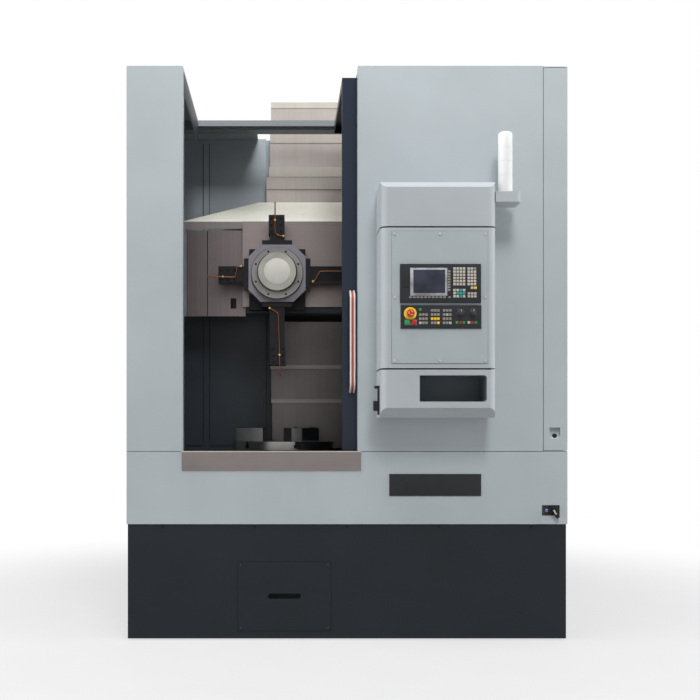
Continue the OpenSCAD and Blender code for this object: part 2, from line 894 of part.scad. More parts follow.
module saddle() {
  cover_z = [cross_z, cross_z + cross_cover_h];
  color(iron) from_front() {
    block([saddle_x, saddle_end], [saddle_y, saddle_back], [saddle_z, saddle_top]);
    for (z = [x_rail_low, x_rail_high]) {
      block([saddle_x + x_rail_inset, saddle_end - 10], [saddle_y - x_rail_t, saddle_y],
            [z - x_rail_w / 2, z + x_rail_w / 2]);
    }
    for (x = [column_x - rail_pitch / 2, column_x + rail_pitch / 2]) {
      for (z = [saddle_z + 60, saddle_top - 60 - shoe_h]) {
        difference() {
          block([x - rail_w / 2 - shoe_wall, x + rail_w / 2 + shoe_wall], [saddle_back, column_y - 8],
                [z, z + shoe_h]);
          block([x - rail_w / 2 - slide_gap, x + rail_w / 2 + slide_gap],
                [rail_front - slide_gap, column_y], [z - over, z + shoe_h + over]);
        }
      }
    }
    block(cross_end_left, [cross_end_y, cross_end_y + sheet], cover_z);
    block(cross_end_right, [cross_end_y, cross_end_y + sheet], cover_z);
    for (x = [saddle_x, saddle_end - sheet]) {
      block([x, x + sheet], [cross_end_y, saddle_y], [saddle_z, cover_z[1]]);
    }
  }
}

module saddle_hood() {
  hang = 5;
  color(bright) from_front() intersection() {
    across([saddle_x, saddle_end],
           [[hood_y, hood_z - hood_lip], [hood_y + sheet, hood_z - hood_lip],
            [hood_y + sheet, hood_z - hang], [hood_back, hood_z + hood_rise - hang],
            [hood_back, hood_z + hood_rise], [hood_y, hood_z]]);
    linear_extrude(height = cover_top)
      polygon([[saddle_x, hood_y - over], [saddle_x, hood_y + sheet],
               [saddle_x + hood_cut, hood_back + over], [saddle_end + over, hood_back + over],
               [saddle_end + over, hood_y - over]]);
  }
}

module saddle_way_covers() {
  top_half = upper_half(3) + cover_flare;
  color(steel) from_front() {
    way_cover(top_half, hood_back, upper4_z, upper4_z[1] - wiper_h,
              upper_y(2) - cover_gap - hood_back);
    way_cover(lower_half(2), upper_y(2), lower1_z, lower1_z[0],
              cover_step - cover_gap);
  }
}

module upper_cover_2() {
  color(steel) from_front()
    way_cover(upper_half(1), upper_y(1), upper2_z, upper2_z[1] - wiper_h, cover_step - cover_gap);
}

module upper_cover_3() {
  color(steel) from_front()
    way_cover(upper_half(2), upper_y(2), upper3_z, upper3_z[1] - wiper_h, cover_step - cover_gap);
}

module lower_cover_2() {
  color(steel) from_front()
    way_cover(lower_half(1), upper_y(1), lower2_z, lower2_z[0], cover_step - cover_gap);
}

module cross_slide() {
  shoe_x = [slide_x + shoe_inset, slide_end - shoe_inset];
  color(steel) from_front() {
    block([slide_x, slide_end], [slide_front, slide_back], [slide_z, slide_z + slide_h]);
    for (z = [x_rail_low, x_rail_high]) {
      difference() {
        block(shoe_x, [slide_back, saddle_y - 6],
              [z - x_rail_w / 2 - shoe_wall, z + x_rail_w / 2 + shoe_wall]);
        block([shoe_x[0] - over, shoe_x[1] + over], [saddle_y - x_rail_t - slide_gap, saddle_y],
              [z - x_rail_w / 2 - slide_gap, z + x_rail_w / 2 + slide_gap]);
      }
    }
  }
}

module cross_covers_outer() {
  z = [cross_z, cross_z + cross_cover_h];
  y = [slide_back, slide_back + sheet];
  color(steel) from_front() {
    block([slide_x + cross_lap - cross_outer_w, slide_x + cross_lap], y, z);
    block([slide_end - cross_lap, slide_end - cross_lap + cross_outer_w], y, z);
  }
}

module cross_covers_middle() {
  z = [cross_z, cross_z + cross_cover_h];
  y = [cross_mid_y, cross_mid_y + sheet];
  color(steel) from_front() {
    block(cross_mid_left, y, z);
    block(cross_mid_right, y, z);
  }
}

module turret_housing() {
  color(black) from_front() difference() {
    block([turret_x - housing_half, turret_x + housing_half], [head_back + over, slide_front],
          [turret_z - housing_low, turret_z + housing_high]);
    stub(turret_x, turret_z, turret_shaft_r + run_gap, [head_back, slide_front + over]);
  }
}

module turret_head() {
  half = head_w / 2;
  cut = half - head_cut;
  color(iron) from_front() {
    translate([turret_x, head_back, turret_z]) rotate([90, 0, 0]) linear_extrude(height = head_d)
      polygon([[-cut, -half], [cut, -half], [half, -cut], [half, cut],
               [cut, half], [-cut, half], [-half, cut], [-half, -cut]]);
    stub(turret_x, turret_z, turret_shaft_r, [head_back - over, slide_front - slide_gap]);
  }
}

module turret_hub() {
  lip = 6;
  mark_t = 2;
  ring_r = hub_ring_d / 2;
  disc_r = hub_disc_d / 2;
  color(steel) from_front() translate([turret_x, turret_y, turret_z]) rotate([90, 0, 0])
    rotate_extrude($fn = 96)
      polygon([[0, 0], [ring_r, 0], [ring_r, hub_ring_t - lip / 2], [ring_r - lip / 2, hub_ring_t],
               [disc_r, hub_ring_t], [disc_r, hub_d - lip], [disc_r - lip, hub_d],
               [hub_mark_d / 2, hub_d], [hub_mark_d / 2, hub_d + mark_t], [0, hub_d + mark_t]]);
}

// Tool holder on the turret face that points along the given turn from upright
module holder(turn, length) {
  face = head_w / 2;
  color(black) translate([turret_x, 0, turret_z]) rotate([0, turn, 0]) {
    block([-flange_w / 2, flange_w / 2], [holder_front - holder_inset, holder_back + holder_inset],
          [face, face + flange_t]);
    block([-holder_w / 2, holder_w / 2], [holder_front, holder_back], [face + flange_t, face + length]);
    block([-holder_w / 2 - clamp_lap, holder_w / 2 - clamp_lap], [holder_front - clamp_lap, holder_back],
          [face + length - clamp_h, face + length]);
  }
}

module tool_holders() {
  from_front() {
    holder(0, holder_short);
    holder(90, holder_long);
    holder(180, holder_long);
    holder(270, holder_short);
  }
}

// Round pipe through points across and up from the turret axis
module pipe(points) {
  for (i = [0 : len(points) - 2]) {
    hull() {
      for (p = [points[i], points[i + 1]]) {
        translate([turret_x + p[0], pipe_y - clamp_lap, turret_z + p[1]]) sphere(r = pipe_r, $fn = 16);
      }
    }
  }
}

module coolant_pipes() {
  face = head_w / 2;
  short_end = face + holder_short + 80;
  long_end = face + holder_long + 67;
  color(copper) from_front() {
    pipe([[-13, short_end], [-13, face + 97], [-8, face + 75], [8, face + 62], [40, face + 56]]);
    pipe([[-short_end, -18], [-face - 98, -22], [-face - 84, -16], [-face - 72, 36], [-face - 48, 46]]);
    pipe([[face + 46, -50], [face + 58, -42], [face + 81, -4], [face + 108, 14], [long_end, 14]]);
    pipe([[-47, -face - 38], [-5, -face - 62], [8, -face - 90], [15, -face - 326], [18, -long_end]]);
  }
}

module sliding_door() {
  x = [door_x, door_end];
  leaf = [door_y, door_y + door_t];
  color(navy) from_front() difference() {
    union() {
      block(x, leaf, [sill_z + cover_gap, door_top]);
      block(x, [door_y, door_back], [door_roof_z, door_top]);
      block(x, [door_back, door_back + tongue_d], [tongue_z, tongue_z + tongue_h]);
    }
    block([door_x + sheet, door_end - sheet], [leaf[1], door_back - sheet],
          [door_roof_z - over, door_top - sheet]);
    block([window_x, window_x + window_w], [door_y - over, leaf[1] + over],
          [window_z, window_z + window_h]);
    block([window_x - window_seat, window_x + window_w + window_seat], [leaf[1] - window_t, leaf[1] + over],
          [window_z - window_seat, window_z + window_h + window_seat]);
  }
}

module door_window() {
  y = door_y + door_t - window_t;
  color([0.6, 0.7, 0.75, 0.4]) from_front()
    block([window_x - window_seat, window_x + window_w + window_seat], [y, y + window_t],
          [window_z - window_seat, window_z + window_h + window_seat]);
}

module door_handle() {
  out = door_y - handle_out;
  top = handle_z + handle_h;
  color(bright) from_front()
    across([handle_x - handle_w / 2, handle_x + handle_w / 2],
           [[door_y, handle_z], [out, handle_z + handle_bend], [out, top - handle_bend], [door_y, top],
            [door_y, top - handle_foot], [out + handle_t, top - handle_foot - handle_bend / 2],
            [out + handle_t, handle_z + handle_foot + handle_bend / 2],
            [door_y, handle_z + handle_foot]]);
}

// Plan of the control box with round front corners, drawn in by a margin
module control_plan(margin) {
  r = control_r;
  x0 = control_x + margin;
  x1 = control_end - margin;
  front = -control_d + margin;
  translate([x0, front + r]) square([x1 - x0, control_d - margin - r]);
  translate([x0 + r, front]) square([x1 - x0 - 2 * r, control_d - margin]);
  for (x = [x0 + r, x1 - r]) translate([x, front + r]) circle(r = r);
}

module control_cap() {
  bracket_end = control_end + bracket_w;
  color(paint) from_front() {
    intersection() {
      translate([0, 0, cap_z]) linear_extrude(height = cap_h) control_plan(0);
      across([control_x - over, control_end + over],
             [[0, cap_z], [-control_d, cap_z], [-control_d, cap_z + cap_h - cap_cut],
              [-control_d + cap_cut, cap_z + cap_h], [0, cap_z + cap_h]]);
    }
    translate([0, 0, bracket_z]) linear_extrude(height = bracket_h) {
      translate([control_end, bracket_y + bracket_r]) square([bracket_w, bracket_d - bracket_r]);
      translate([control_end, bracket_y]) square([bracket_w - bracket_r, bracket_d]);
      translate([bracket_end - bracket_r, bracket_y + bracket_r]) circle(r = bracket_r);
    }
  }
}

module control_console() {
  color(paint) from_front() difference() {
    translate([0, 0, console_z]) linear_extrude(height = console_h) control_plan(0);
    intersection() {
      translate([0, 0, console_z + wall]) linear_extrude(height = console_h - 2 * wall) control_plan(wall);
      block([control_x, control_end], [-control_d, -wall], [console_z, console_z + console_h]);
    }
    block([plate_x + plate_lap, plate_x + plate_w - plate_lap], [-control_d - over, -control_d + 2 * wall],
          [plate_z + plate_lap, plate_z + plate_h - plate_lap]);
  }
}

// Front view of the tray's pocket, rounded at its right end
module pocket_face() {
  r = pocket_r;
  w = pocket_x[1] - pocket_x[0];
  h = pocket_z[1] - pocket_z[0];
  translate([pocket_x[0], pocket_z[0]]) square([w - r, h]);
  translate([pocket_x[0], pocket_z[0] + r]) square([w, h - 2 * r]);
  for (z = [pocket_z[0] + r, pocket_z[1] - r]) translate([pocket_x[1] - r, z]) circle(r = r);
}

module control_tray() {
  color(paint) from_front() difference() {
    intersection() {
      translate([0, 0, control_z]) linear_extrude(height = tray_h) control_plan(0);
      across([control_x - over, control_end + over],
             [[0, control_z], [-control_d + tray_cut, control_z], [-control_d, control_z + tray_cut],
              [-control_d, control_z + tray_h], [0, control_z + tray_h]]);
    }
    translate([0, pocket_d - control_d, 0]) rotate([90, 0, 0])
      linear_extrude(height = pocket_d + over) pocket_face();
  }
}

module control_seals() {
  color(black) from_front() for (z = [control_z + tray_h, console_z + console_h]) {
    translate([0, 0, z]) linear_extrude(height = seal_h) control_plan(seal_in);
  }
}

module operator_plate() {
  y = [plate_y - over, -control_d + over];
  color(paint) from_front() difference() {
    block([plate_x, plate_x + plate_w], [plate_y, -control_d], [plate_z, plate_z + plate_h]);
    stub(estop_x, estop_z, estop_stem_r + button_gap, y);
    for (x = button_x) push_button(x, button_gap, y);
    for (x = knob_x) stub(x, knob_z, knob_shaft_r + button_gap, y);
  }
}

// Rows of raised keys on a face, from the lower left key
module key_rows(x, y, z, columns, rows) {
  for (i = [0 : columns - 1]) {
    for (j = [0 : rows - 1]) {
      block([x + i * key_pitch, x + i * key_pitch + key], [y - key_t, y],
            [z + j * key_pitch, z + j * key_pitch + key]);
    }
  }
}

module display_unit() {
  y = plate_y - unit_t;
  color(dark) from_front() {
    difference() {
      block([unit_x, unit_x + unit_w], [y, plate_y], [unit_z, unit_z + unit_h]);
      block(screen_x, [y - over, y + screen_t], screen_z);
    }
    key_rows(unit_x + 276, y, unit_z + 91, 4, 6);
    key_rows(unit_x + 349, y, unit_z + 91, 3, 6);
    key_rows(unit_x + 276, y, unit_z + 28, 4, 3);
    key_rows(unit_x + 349, y, unit_z + 28, 3, 2);
    key_rows(unit_x + 48, y, unit_z + 28, 12, 1);
  }
}

module display_screen() {
  y = plate_y - unit_t;
  color(black) from_front() block(screen_x, [y + screen_t / 2, y + screen_t], screen_z);
}

module key_panel() {
  ring_r = estop_ring_d / 2;
  y = [panel_y - estop_ring_t - over, plate_y + over];
  color(dark) from_front() difference() {
    union() {
      block([panel_x, panel_x + unit_w], [panel_y, plate_y], [panel_z, panel_z + panel_h]);
      stub(estop_x, estop_z, ring_r, [panel_y - estop_ring_t, panel_y]);
      key_rows(panel_x + 96, panel_y, panel_z + 20, 3, 4);
      key_rows(panel_x + 158, panel_y, panel_z + 20, 3, 5);
      key_rows(panel_x + 220, panel_y, panel_z + 20, 3, 5);
      key_rows(panel_x + 290, panel_y, panel_z + 20, 7, 1);
    }
    stub(estop_x, estop_z, estop_stem_r + button_gap, y);
    for (x = button_x) push_button(x, button_gap, y);
    for (x = knob_x) stub(x, knob_z, knob_shaft_r + run_gap, y);
  }
}

module estop_button() {
  front = panel_y - estop_reach;
  color([0.75, 0.1, 0.08]) from_front() {
    stub(estop_x, estop_z, estop_d / 2, [front, front + estop_head_t]);
    stub(estop_x, estop_z, estop_stem_r, [front, panel_y + stem_in]);
  }
}

// Square push button at x, or its hole with a gap all round
module push_button(x, gap, y) {
  half = button_w / 2 + gap;
  block([x - half, x + half], y, [button_z - half, button_z + half]);
}

module start_button() {
  color([0.1, 0.5, 0.2]) from_front()
    push_button(button_x[0], 0, [panel_y - button_out, panel_y + stem_in]);
}

module stop_button() {
  color([0.75, 0.1, 0.08]) from_front()
    push_button(button_x[1], 0, [panel_y - button_out, panel_y + stem_in]);
}

// Knob with a pointer ridge, on a shaft through the key panel
module override_knob(x) {
  ridge = 6;
  front = panel_y - knob_t;
  color(black) from_front() {
    stub(x, knob_z, knob_d / 2, [front, panel_y - slide_gap]);
    stub(x, knob_z, knob_shaft_r, [front, panel_y + stem_in]);
    block([x - ridge / 2, x + ridge / 2], [front - ridge, front], [knob_z, knob_z + knob_d / 2]);
  }
}

module feed_knob() {
  override_knob(knob_x[0]);
}

module spindle_knob() {
  override_knob(knob_x[1]);
}

module signal_tower() {
  foot_h = 24;
  foot_r = tower_d / 2 - 6;
  z = bracket_z + bracket_h;
  color([0.93, 0.93, 0.91]) from_front() {
    post(tower_x, tower_y, foot_r, [z, z + foot_h]);
    post(tower_x, tower_y, tower_d / 2, [z + foot_h, z + tower_h]);
  }
}

module handwheel_hook() {
  arm_t = 8;
  arm_h = 152;
  block_w = 22;
  block_h = 53;
  block_up = 20;
  lip_w = 16;
  lip_h = 14;
  y = [hook_y, hook_y + hook_d];
  x = control_x - arm_t;
  foot = hook_z - block_up;
  color(black) from_front() {
    block([x, control_x], y, [foot, foot + arm_h]);
    block([x - block_w, x], y, [hook_z, hook_z + block_h]);
    block([x - lip_w, x], y, [foot + arm_h - lip_h, foot + arm_h]);
  }
}

module main_switch_box() {
  rim = 3;
  w = switch_w / 2;
  h = switch_h / 2;
  lamp_x = switch_x - 22;
  lamp_r = 8;
  color(black) from_front() {
    difference() {
      block([switch_x - w, switch_x + w], [0, switch_d], [switch_z - h, switch_z + h]);
      block([switch_x - w + rim, switch_x + w - rim], [-over, switch_floor],
            [switch_z - h + rim, switch_z + h - rim]);
      stub(switch_turn_x, switch_z, switch_shaft_r + run_gap, [0, switch_d - rim]);
    }
    stub(lamp_x, switch_z, lamp_r, [-rim, switch_floor]);
  }
}

module main_switch_handle() {
  lever_w = 18;
  lever_t = 20;
  face = -6;
  turn = 58;
  color(iron) from_front() {
    stub(switch_turn_x, switch_z, switch_shaft_r, [face + over, switch_d - 2 * sheet]);
    stub(switch_turn_x, switch_z, switch_disc_r, [face, switch_floor - 2]);
    translate([switch_turn_x, 0, switch_z]) rotate([0, turn, 0])
      block([-lever_w / 2, switch_lever], [face - lever_t, face + over], [-lever_w / 2, lever_w / 2]);
  }
}

base_casting();
levelling_feet();
base_skirt();
access_cover();
apron_panel();
sill_plate();
left_side_panel();
right_front_panel();
right_side_panel();
rear_panel();
roof_crossbar();
splash_guard();
chip_pan();
column();
fixed_way_covers();
spindle_housing();
drive_motors();
drive_belt();
control_cap();
control_console();
control_tray();
control_seals();
operator_plate();
display_unit();
display_screen();
key_panel();
signal_tower();
handwheel_hook();
main_switch_box();
main_switch_handle();
side_door();
side_door_lock();
sliding_door();
door_window();
door_handle();
spindle_shaft();
chuck_body();
chuck_jaw_1();
chuck_jaw_2();
chuck_jaw_3();
motor_pulley();
saddle();
saddle_hood();
saddle_way_covers();
upper_cover_2();
upper_cover_3();
lower_cover_2();
cross_slide();
cross_covers_outer();
cross_covers_middle();
turret_housing();
turret_head();
turret_hub();
tool_holders();
coolant_pipes();
estop_button();
start_button();
stop_button();
feed_knob();
spindle_knob();
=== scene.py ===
import math

import bmesh
import bpy
from mathutils import Matrix, Vector


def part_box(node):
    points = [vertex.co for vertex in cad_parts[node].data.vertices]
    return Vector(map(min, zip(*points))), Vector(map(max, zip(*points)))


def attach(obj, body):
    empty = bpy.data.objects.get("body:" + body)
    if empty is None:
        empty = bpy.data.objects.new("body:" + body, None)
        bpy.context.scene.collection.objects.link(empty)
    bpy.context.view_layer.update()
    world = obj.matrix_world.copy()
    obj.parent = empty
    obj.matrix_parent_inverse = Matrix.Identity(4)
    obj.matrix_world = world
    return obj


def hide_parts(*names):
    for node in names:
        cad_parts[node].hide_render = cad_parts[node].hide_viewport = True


# Looks of the vertical lathe: finishes, small fittings, floor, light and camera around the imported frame.
# Places are in millimetres: X from the middle of the machine, Y from the front face towards the back
# and Z from the floor.

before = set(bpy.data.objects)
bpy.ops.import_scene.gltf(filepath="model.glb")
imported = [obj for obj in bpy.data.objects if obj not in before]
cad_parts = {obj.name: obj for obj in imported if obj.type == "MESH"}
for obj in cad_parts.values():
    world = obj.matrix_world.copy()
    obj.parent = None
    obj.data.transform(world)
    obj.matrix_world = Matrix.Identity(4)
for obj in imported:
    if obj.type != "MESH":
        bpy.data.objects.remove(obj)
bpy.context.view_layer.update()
MM = 0.001
FRONT_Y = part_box("left_side_panel")[0].y


def place(x, y, z):
    """A point in millimetres from the front face, in the frame's metres."""
    return Vector((x * MM, y * MM + FRONT_Y, z * MM))


def limits(node):
    """Lowest and highest corner of a CAD node in millimetres from the front face."""
    low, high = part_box(node)
    shift = Vector((0, FRONT_Y, 0))
    return (low - shift) / MM, (high - shift) / MM


def middle(node):
    """Middle of a CAD node's box in millimetres from the front face."""
    low, high = limits(node)
    return (low + high) / 2


# Materials

# Heights in metres over which the painted light on the upper inner walls and the painted shade on the lower
# way covers fade out.
ROOF_LIGHT_FADE = (1.6, 2.8)
COVER_SHADE_FADE = (1.7, 2.4)


def new_material(name):
    """An empty node material with its output and a principled shader."""
    material = bpy.data.materials.new(name)
    material.use_nodes = True
    tree = material.node_tree
    tree.nodes.clear()
    out = tree.nodes.new("ShaderNodeOutputMaterial")
    shader = tree.nodes.new("ShaderNodeBsdfPrincipled")
    tree.links.new(shader.outputs["BSDF"], out.inputs["Surface"])
    return material, tree, shader


def coordinates(tree, scale=(1, 1, 1), offset=(0, 0, 0)):
    """Object coordinates in metres, stretched along each axis."""
    coords = tree.nodes.new("ShaderNodeTexCoord")
    mapping = tree.nodes.new("ShaderNodeMapping")
    mapping.inputs["Scale"].default_value = scale
    mapping.inputs["Location"].default_value = offset
    tree.links.new(coords.outputs["Object"], mapping.inputs["Vector"])
    return mapping.outputs["Vector"]


def noise(tree, vector, scale, detail=3.0, rough=0.55):
    """The value of a noise texture over the given coordinates."""
    node = tree.nodes.new("ShaderNodeTexNoise")
    node.inputs["Scale"].default_value = scale
    node.inputs["Detail"].default_value = detail
    node.inputs["Roughness"].default_value = rough
    tree.links.new(vector, node.inputs["Vector"])
    return node.outputs["Fac"]


def shades(tree, value, colour, dark, light, start=0.35, stop=0.65):
    """A colour from a darker to a lighter shade over a value; dark and light are factors."""
    node = tree.nodes.new("ShaderNodeValToRGB")
    for stage, position, factor in zip(node.color_ramp.elements, (start, stop), (dark, light)):
        stage.position = position
        stage.color = (*(min(1.0, c * factor) for c in colour), 1)
    tree.links.new(value, node.inputs["Fac"])
    return node.outputs["Color"]


def to_range(tree, value, low, high):
    """A value from 0 to 1 brought between two limits."""
    node = tree.nodes.new("ShaderNodeMapRange")
    node.inputs["To Min"].default_value = low
    node.inputs["To Max"].default_value = high
    tree.links.new(value, node.inputs["Value"])
    return node.outputs["Result"]


def soft_step(tree, value, start, stop, low=0.0, high=1.0):
    """A soft step from low to high between two values."""
    node = tree.nodes.new("ShaderNodeMapRange")
    node.interpolation_type = "SMOOTHSTEP"
    for key, number in (("From Min", start), ("From Max", stop), ("To Min", low), ("To Max", high)):
        node.inputs[key].default_value = number
    tree.links.new(value, node.inputs["Value"])
    return node.outputs["Result"]


def calculate(tree, operation, first, second):
    """A math node over two values."""
    node = tree.nodes.new("ShaderNodeMath")
    node.operation = operation
    tree.links.new(first, node.inputs[0])
    tree.links.new(second, node.inputs[1])
    return node.outputs["Value"]


def upward(tree, vector):
    """The Z part of a vector."""
    split = tree.nodes.new("ShaderNodeSeparateXYZ")
    tree.links.new(vector, split.inputs["Vector"])
    return split.outputs["Z"]


def distance(tree, vector):
    """The length of a vector."""
    length = tree.nodes.new("ShaderNodeVectorMath")
    length.operation = "LENGTH"
    tree.links.new(vector, length.inputs[0])
    return length.outputs["Value"]


def bump(tree, shader, value, strength, height):
    """Raises the surface by a value."""
    node = tree.nodes.new("ShaderNodeBump")
    node.inputs["Strength"].default_value = strength
    node.inputs["Distance"].default_value = height
    tree.links.new(value, node.inputs["Height"])
    tree.links.new(node.outputs["Normal"], shader.inputs["Normal"])


def blend_tones(tree, factor, low, high):
    """Mix of two colour sockets."""
    blend = tree.nodes.new("ShaderNodeMix")
    blend.data_type = "RGBA"
    tree.links.new(factor, blend.inputs["Factor"])
    tree.links.new(low, blend.inputs["A"])
    tree.links.new(high, blend.inputs["B"])
    return blend.outputs["Result"]


def paint(name, colour, rough=0.42, spread=0.05, grain=0.12, shine=0.5, high=None):
    """Powder coat: a fine orange-peel grain, faint cloudiness and uneven gloss.

    high is a lighter colour near the roof: painted light that stands for the light falling in through the
    roof.
    """
    material, tree, shader = new_material(name)
    vector = coordinates(tree)
    clouds = noise(tree, vector, 2.2, 4)
    tone = shades(tree, clouds, colour, 1 - spread, 1 + spread, 0.3, 0.7)
    # Painted light: the colour turns to the lighter high colour towards the roof.
    if high:
        roof_light_tone = shades(tree, clouds, high, 1 - spread, 1 + spread, 0.3, 0.7)
        tone = blend_tones(tree, soft_step(tree, upward(tree, vector), *ROOF_LIGHT_FADE), tone, roof_light_tone)
    tree.links.new(tone, shader.inputs["Base Color"])
    smears = noise(tree, coordinates(tree, (3, 3, 9)), 1.6, 5)
    tree.links.new(to_range(tree, smears, rough - 0.08, rough + 0.1), shader.inputs["Roughness"])
    bump(tree, shader, noise(tree, vector, 620, 2), grain, 0.0006)
    shader.inputs["Specular IOR Level"].default_value = shine
    return material


def brushed(name, colour, along="x", rough=0.3, spread=0.12, low=None, up=None, metallic=1.0):
    """Stainless sheet with a brushed grain along one axis and dull patches.

    low is a darker colour near the floor, painted shade; up is a lighter colour where it faces upwards, a
    painted highlight.
    """
    material, tree, shader = new_material(name)
    fine = {"x": (3, 900, 900), "z": (900, 900, 3)}[along]
    grain = noise(tree, coordinates(tree, fine), 1.0, 4, 0.7)
    streak = {"x": (0.4, 60, 60), "z": (60, 60, 0.4)}[along]
    patches = noise(tree, coordinates(tree), 3.5, 5, 0.6)
    tone = shades(tree, patches, colour, 1 - spread, 1 + spread, 0.25, 0.75)
    # Painted shade: darker towards the floor.
    if low:
        dull = shades(tree, patches, low, 1 - spread, 1 + spread, 0.25, 0.75)
        rise = upward(tree, coordinates(tree))
        tone = blend_tones(tree, soft_step(tree, rise, *COVER_SHADE_FADE), dull, tone)
    # Painted highlight: lighter where the surface faces upwards.
    if up:
        face = tree.nodes.new("ShaderNodeNewGeometry")
        light = shades(tree, patches, up, 1 - spread, 1 + spread, 0.25, 0.75)
        slope = upward(tree, face.outputs["True Normal"])
        tone = blend_tones(tree, soft_step(tree, slope, 0.03, 0.3), tone, light)
    lines = to_range(tree, noise(tree, coordinates(tree, streak), 1.0, 3), 0.88, 1.1)
    scale = tree.nodes.new("ShaderNodeVectorMath")
    scale.operation = "SCALE"
    tree.links.new(tone, scale.inputs[0])
    tree.links.new(lines, scale.inputs["Scale"])
    tree.links.new(scale.outputs["Vector"], shader.inputs["Base Color"])
    gloss = calculate(tree, "ADD", to_range(tree, grain, -0.07, 0.07),
                      to_range(tree, patches, rough - 0.08, rough + 0.1))
    tree.links.new(gloss, shader.inputs["Roughness"])
    bump(tree, shader, grain, 0.06, 0.0004)
    shader.inputs["Metallic"].default_value = metallic
    shader.inputs["Anisotropic"].default_value = 0.35
    return material


def turned(name, colour, centre, axis="z", rough=0.26, rim=None):
    """Turned steel with fine rings around an axis; rim is a radius in metres and the colour outside it."""
    material, tree, shader = new_material(name)
    flat = {"z": (1, 1, 0), "y": (1, 0, 1)}[axis]
    offset = tuple(-c * f for c, f in zip(centre, flat))
    radius = distance(tree, coordinates(tree, flat, offset))
    rings = tree.nodes.new("ShaderNodeTexNoise")
    rings.noise_dimensions = "1D"
    rings.inputs["Scale"].default_value = 900
    rings.inputs["Detail"].default_value = 2
    tree.links.new(radius, rings.inputs["W"])
    stains = noise(tree, coordinates(tree), 9, 5)
    tone = shades(tree, stains, colour, 0.82, 1.1, 0.3, 0.7)
    if rim:
        outside = tree.nodes.new("ShaderNodeMath")
        outside.operation = "GREATER_THAN"
        outside.inputs[1].default_value = rim[0]
        tree.links.new(radius, outside.inputs[0])
        far = shades(tree, stains, rim[1], 0.85, 1.1, 0.3, 0.7)
        tone = blend_tones(tree, outside.outputs["Value"], tone, far)
    tree.links.new(tone, shader.inputs["Base Color"])
    gloss = to_range(tree, rings.outputs["Fac"], rough - 0.06, rough + 0.14)
    tree.links.new(gloss, shader.inputs["Roughness"])
    bump(tree, shader, rings.outputs["Fac"], 0.12, 0.0005)
    shader.inputs["Metallic"].default_value = 1.0
    return material


def moulded(name, colour, rough=0.45, spread=0.08, grain=0.15):
    """Moulded plastic or blackened steel with a fine leathery grain."""
    material, tree, shader = new_material(name)
    vector = coordinates(tree)
    tone = shades(tree, noise(tree, vector, 14, 4), colour, 1 - spread, 1 + spread)
    tree.links.new(tone, shader.inputs["Base Color"])
    gloss = to_range(tree, noise(tree, vector, 45, 3), rough - 0.07, rough + 0.08)
    tree.links.new(gloss, shader.inputs["Roughness"])
    bump(tree, shader, noise(tree, vector, 1300, 2), grain, 0.0003)
    shader.inputs["Specular IOR Level"].default_value = 0.25
    return material


def casting(name, colour):
    """Painted casting: coarse skin under a half-gloss paint."""
    material, tree, shader = new_material(name)
    vector = coordinates(tree)
    tree.links.new(shades(tree, noise(tree, vector, 6, 6), colour, 0.85, 1.12), shader.inputs["Base Color"])
    tree.links.new(to_range(tree, noise(tree, vector, 30, 4), 0.4, 0.65), shader.inputs["Roughness"])
    bump(tree, shader, noise(tree, vector, 160, 5), 0.35, 0.0012)
    return material


def metal(name, colour, rough=0.25):
    """Small bare metal fittings with handling marks."""
    material, tree, shader = new_material(name)
    marks = noise(tree, coordinates(tree), 70, 5)
    tree.links.new(shades(tree, marks, colour, 0.8, 1.12), shader.inputs["Base Color"])
    tree.links.new(to_range(tree, marks, rough - 0.08, rough + 0.15), shader.inputs["Roughness"])
    shader.inputs["Metallic"].default_value = 1.0
    return material


def clear_glass(name, colour):
    """Laminated window pane with faint smears."""
    material, tree, shader = new_material(name)
    smears = noise(tree, coordinates(tree, (4, 4, 1)), 6, 5)
    tree.links.new(to_range(tree, smears, 0.02, 0.12), shader.inputs["Roughness"])
    shader.inputs["Base Color"].default_value = (*colour, 1)
    shader.inputs["Transmission Weight"].default_value = 0.9
    shader.inputs["IOR"].default_value = 1.45
    return material


def screen_face(name, colour):
    """Dark screen under a slack protective film."""
    material, tree, shader = new_material(name)
    tone = shades(tree, noise(tree, coordinates(tree), 12, 3), colour, 0.7, 1.5)
    tree.links.new(tone, shader.inputs["Base Color"])
    shader.inputs["Roughness"].default_value = 0.12
    bump(tree, shader, noise(tree, coordinates(tree, (1, 1, 2)), 18, 3), 0.25, 0.002)
    shader.inputs["Specular IOR Level"].default_value = 0.3
    return material


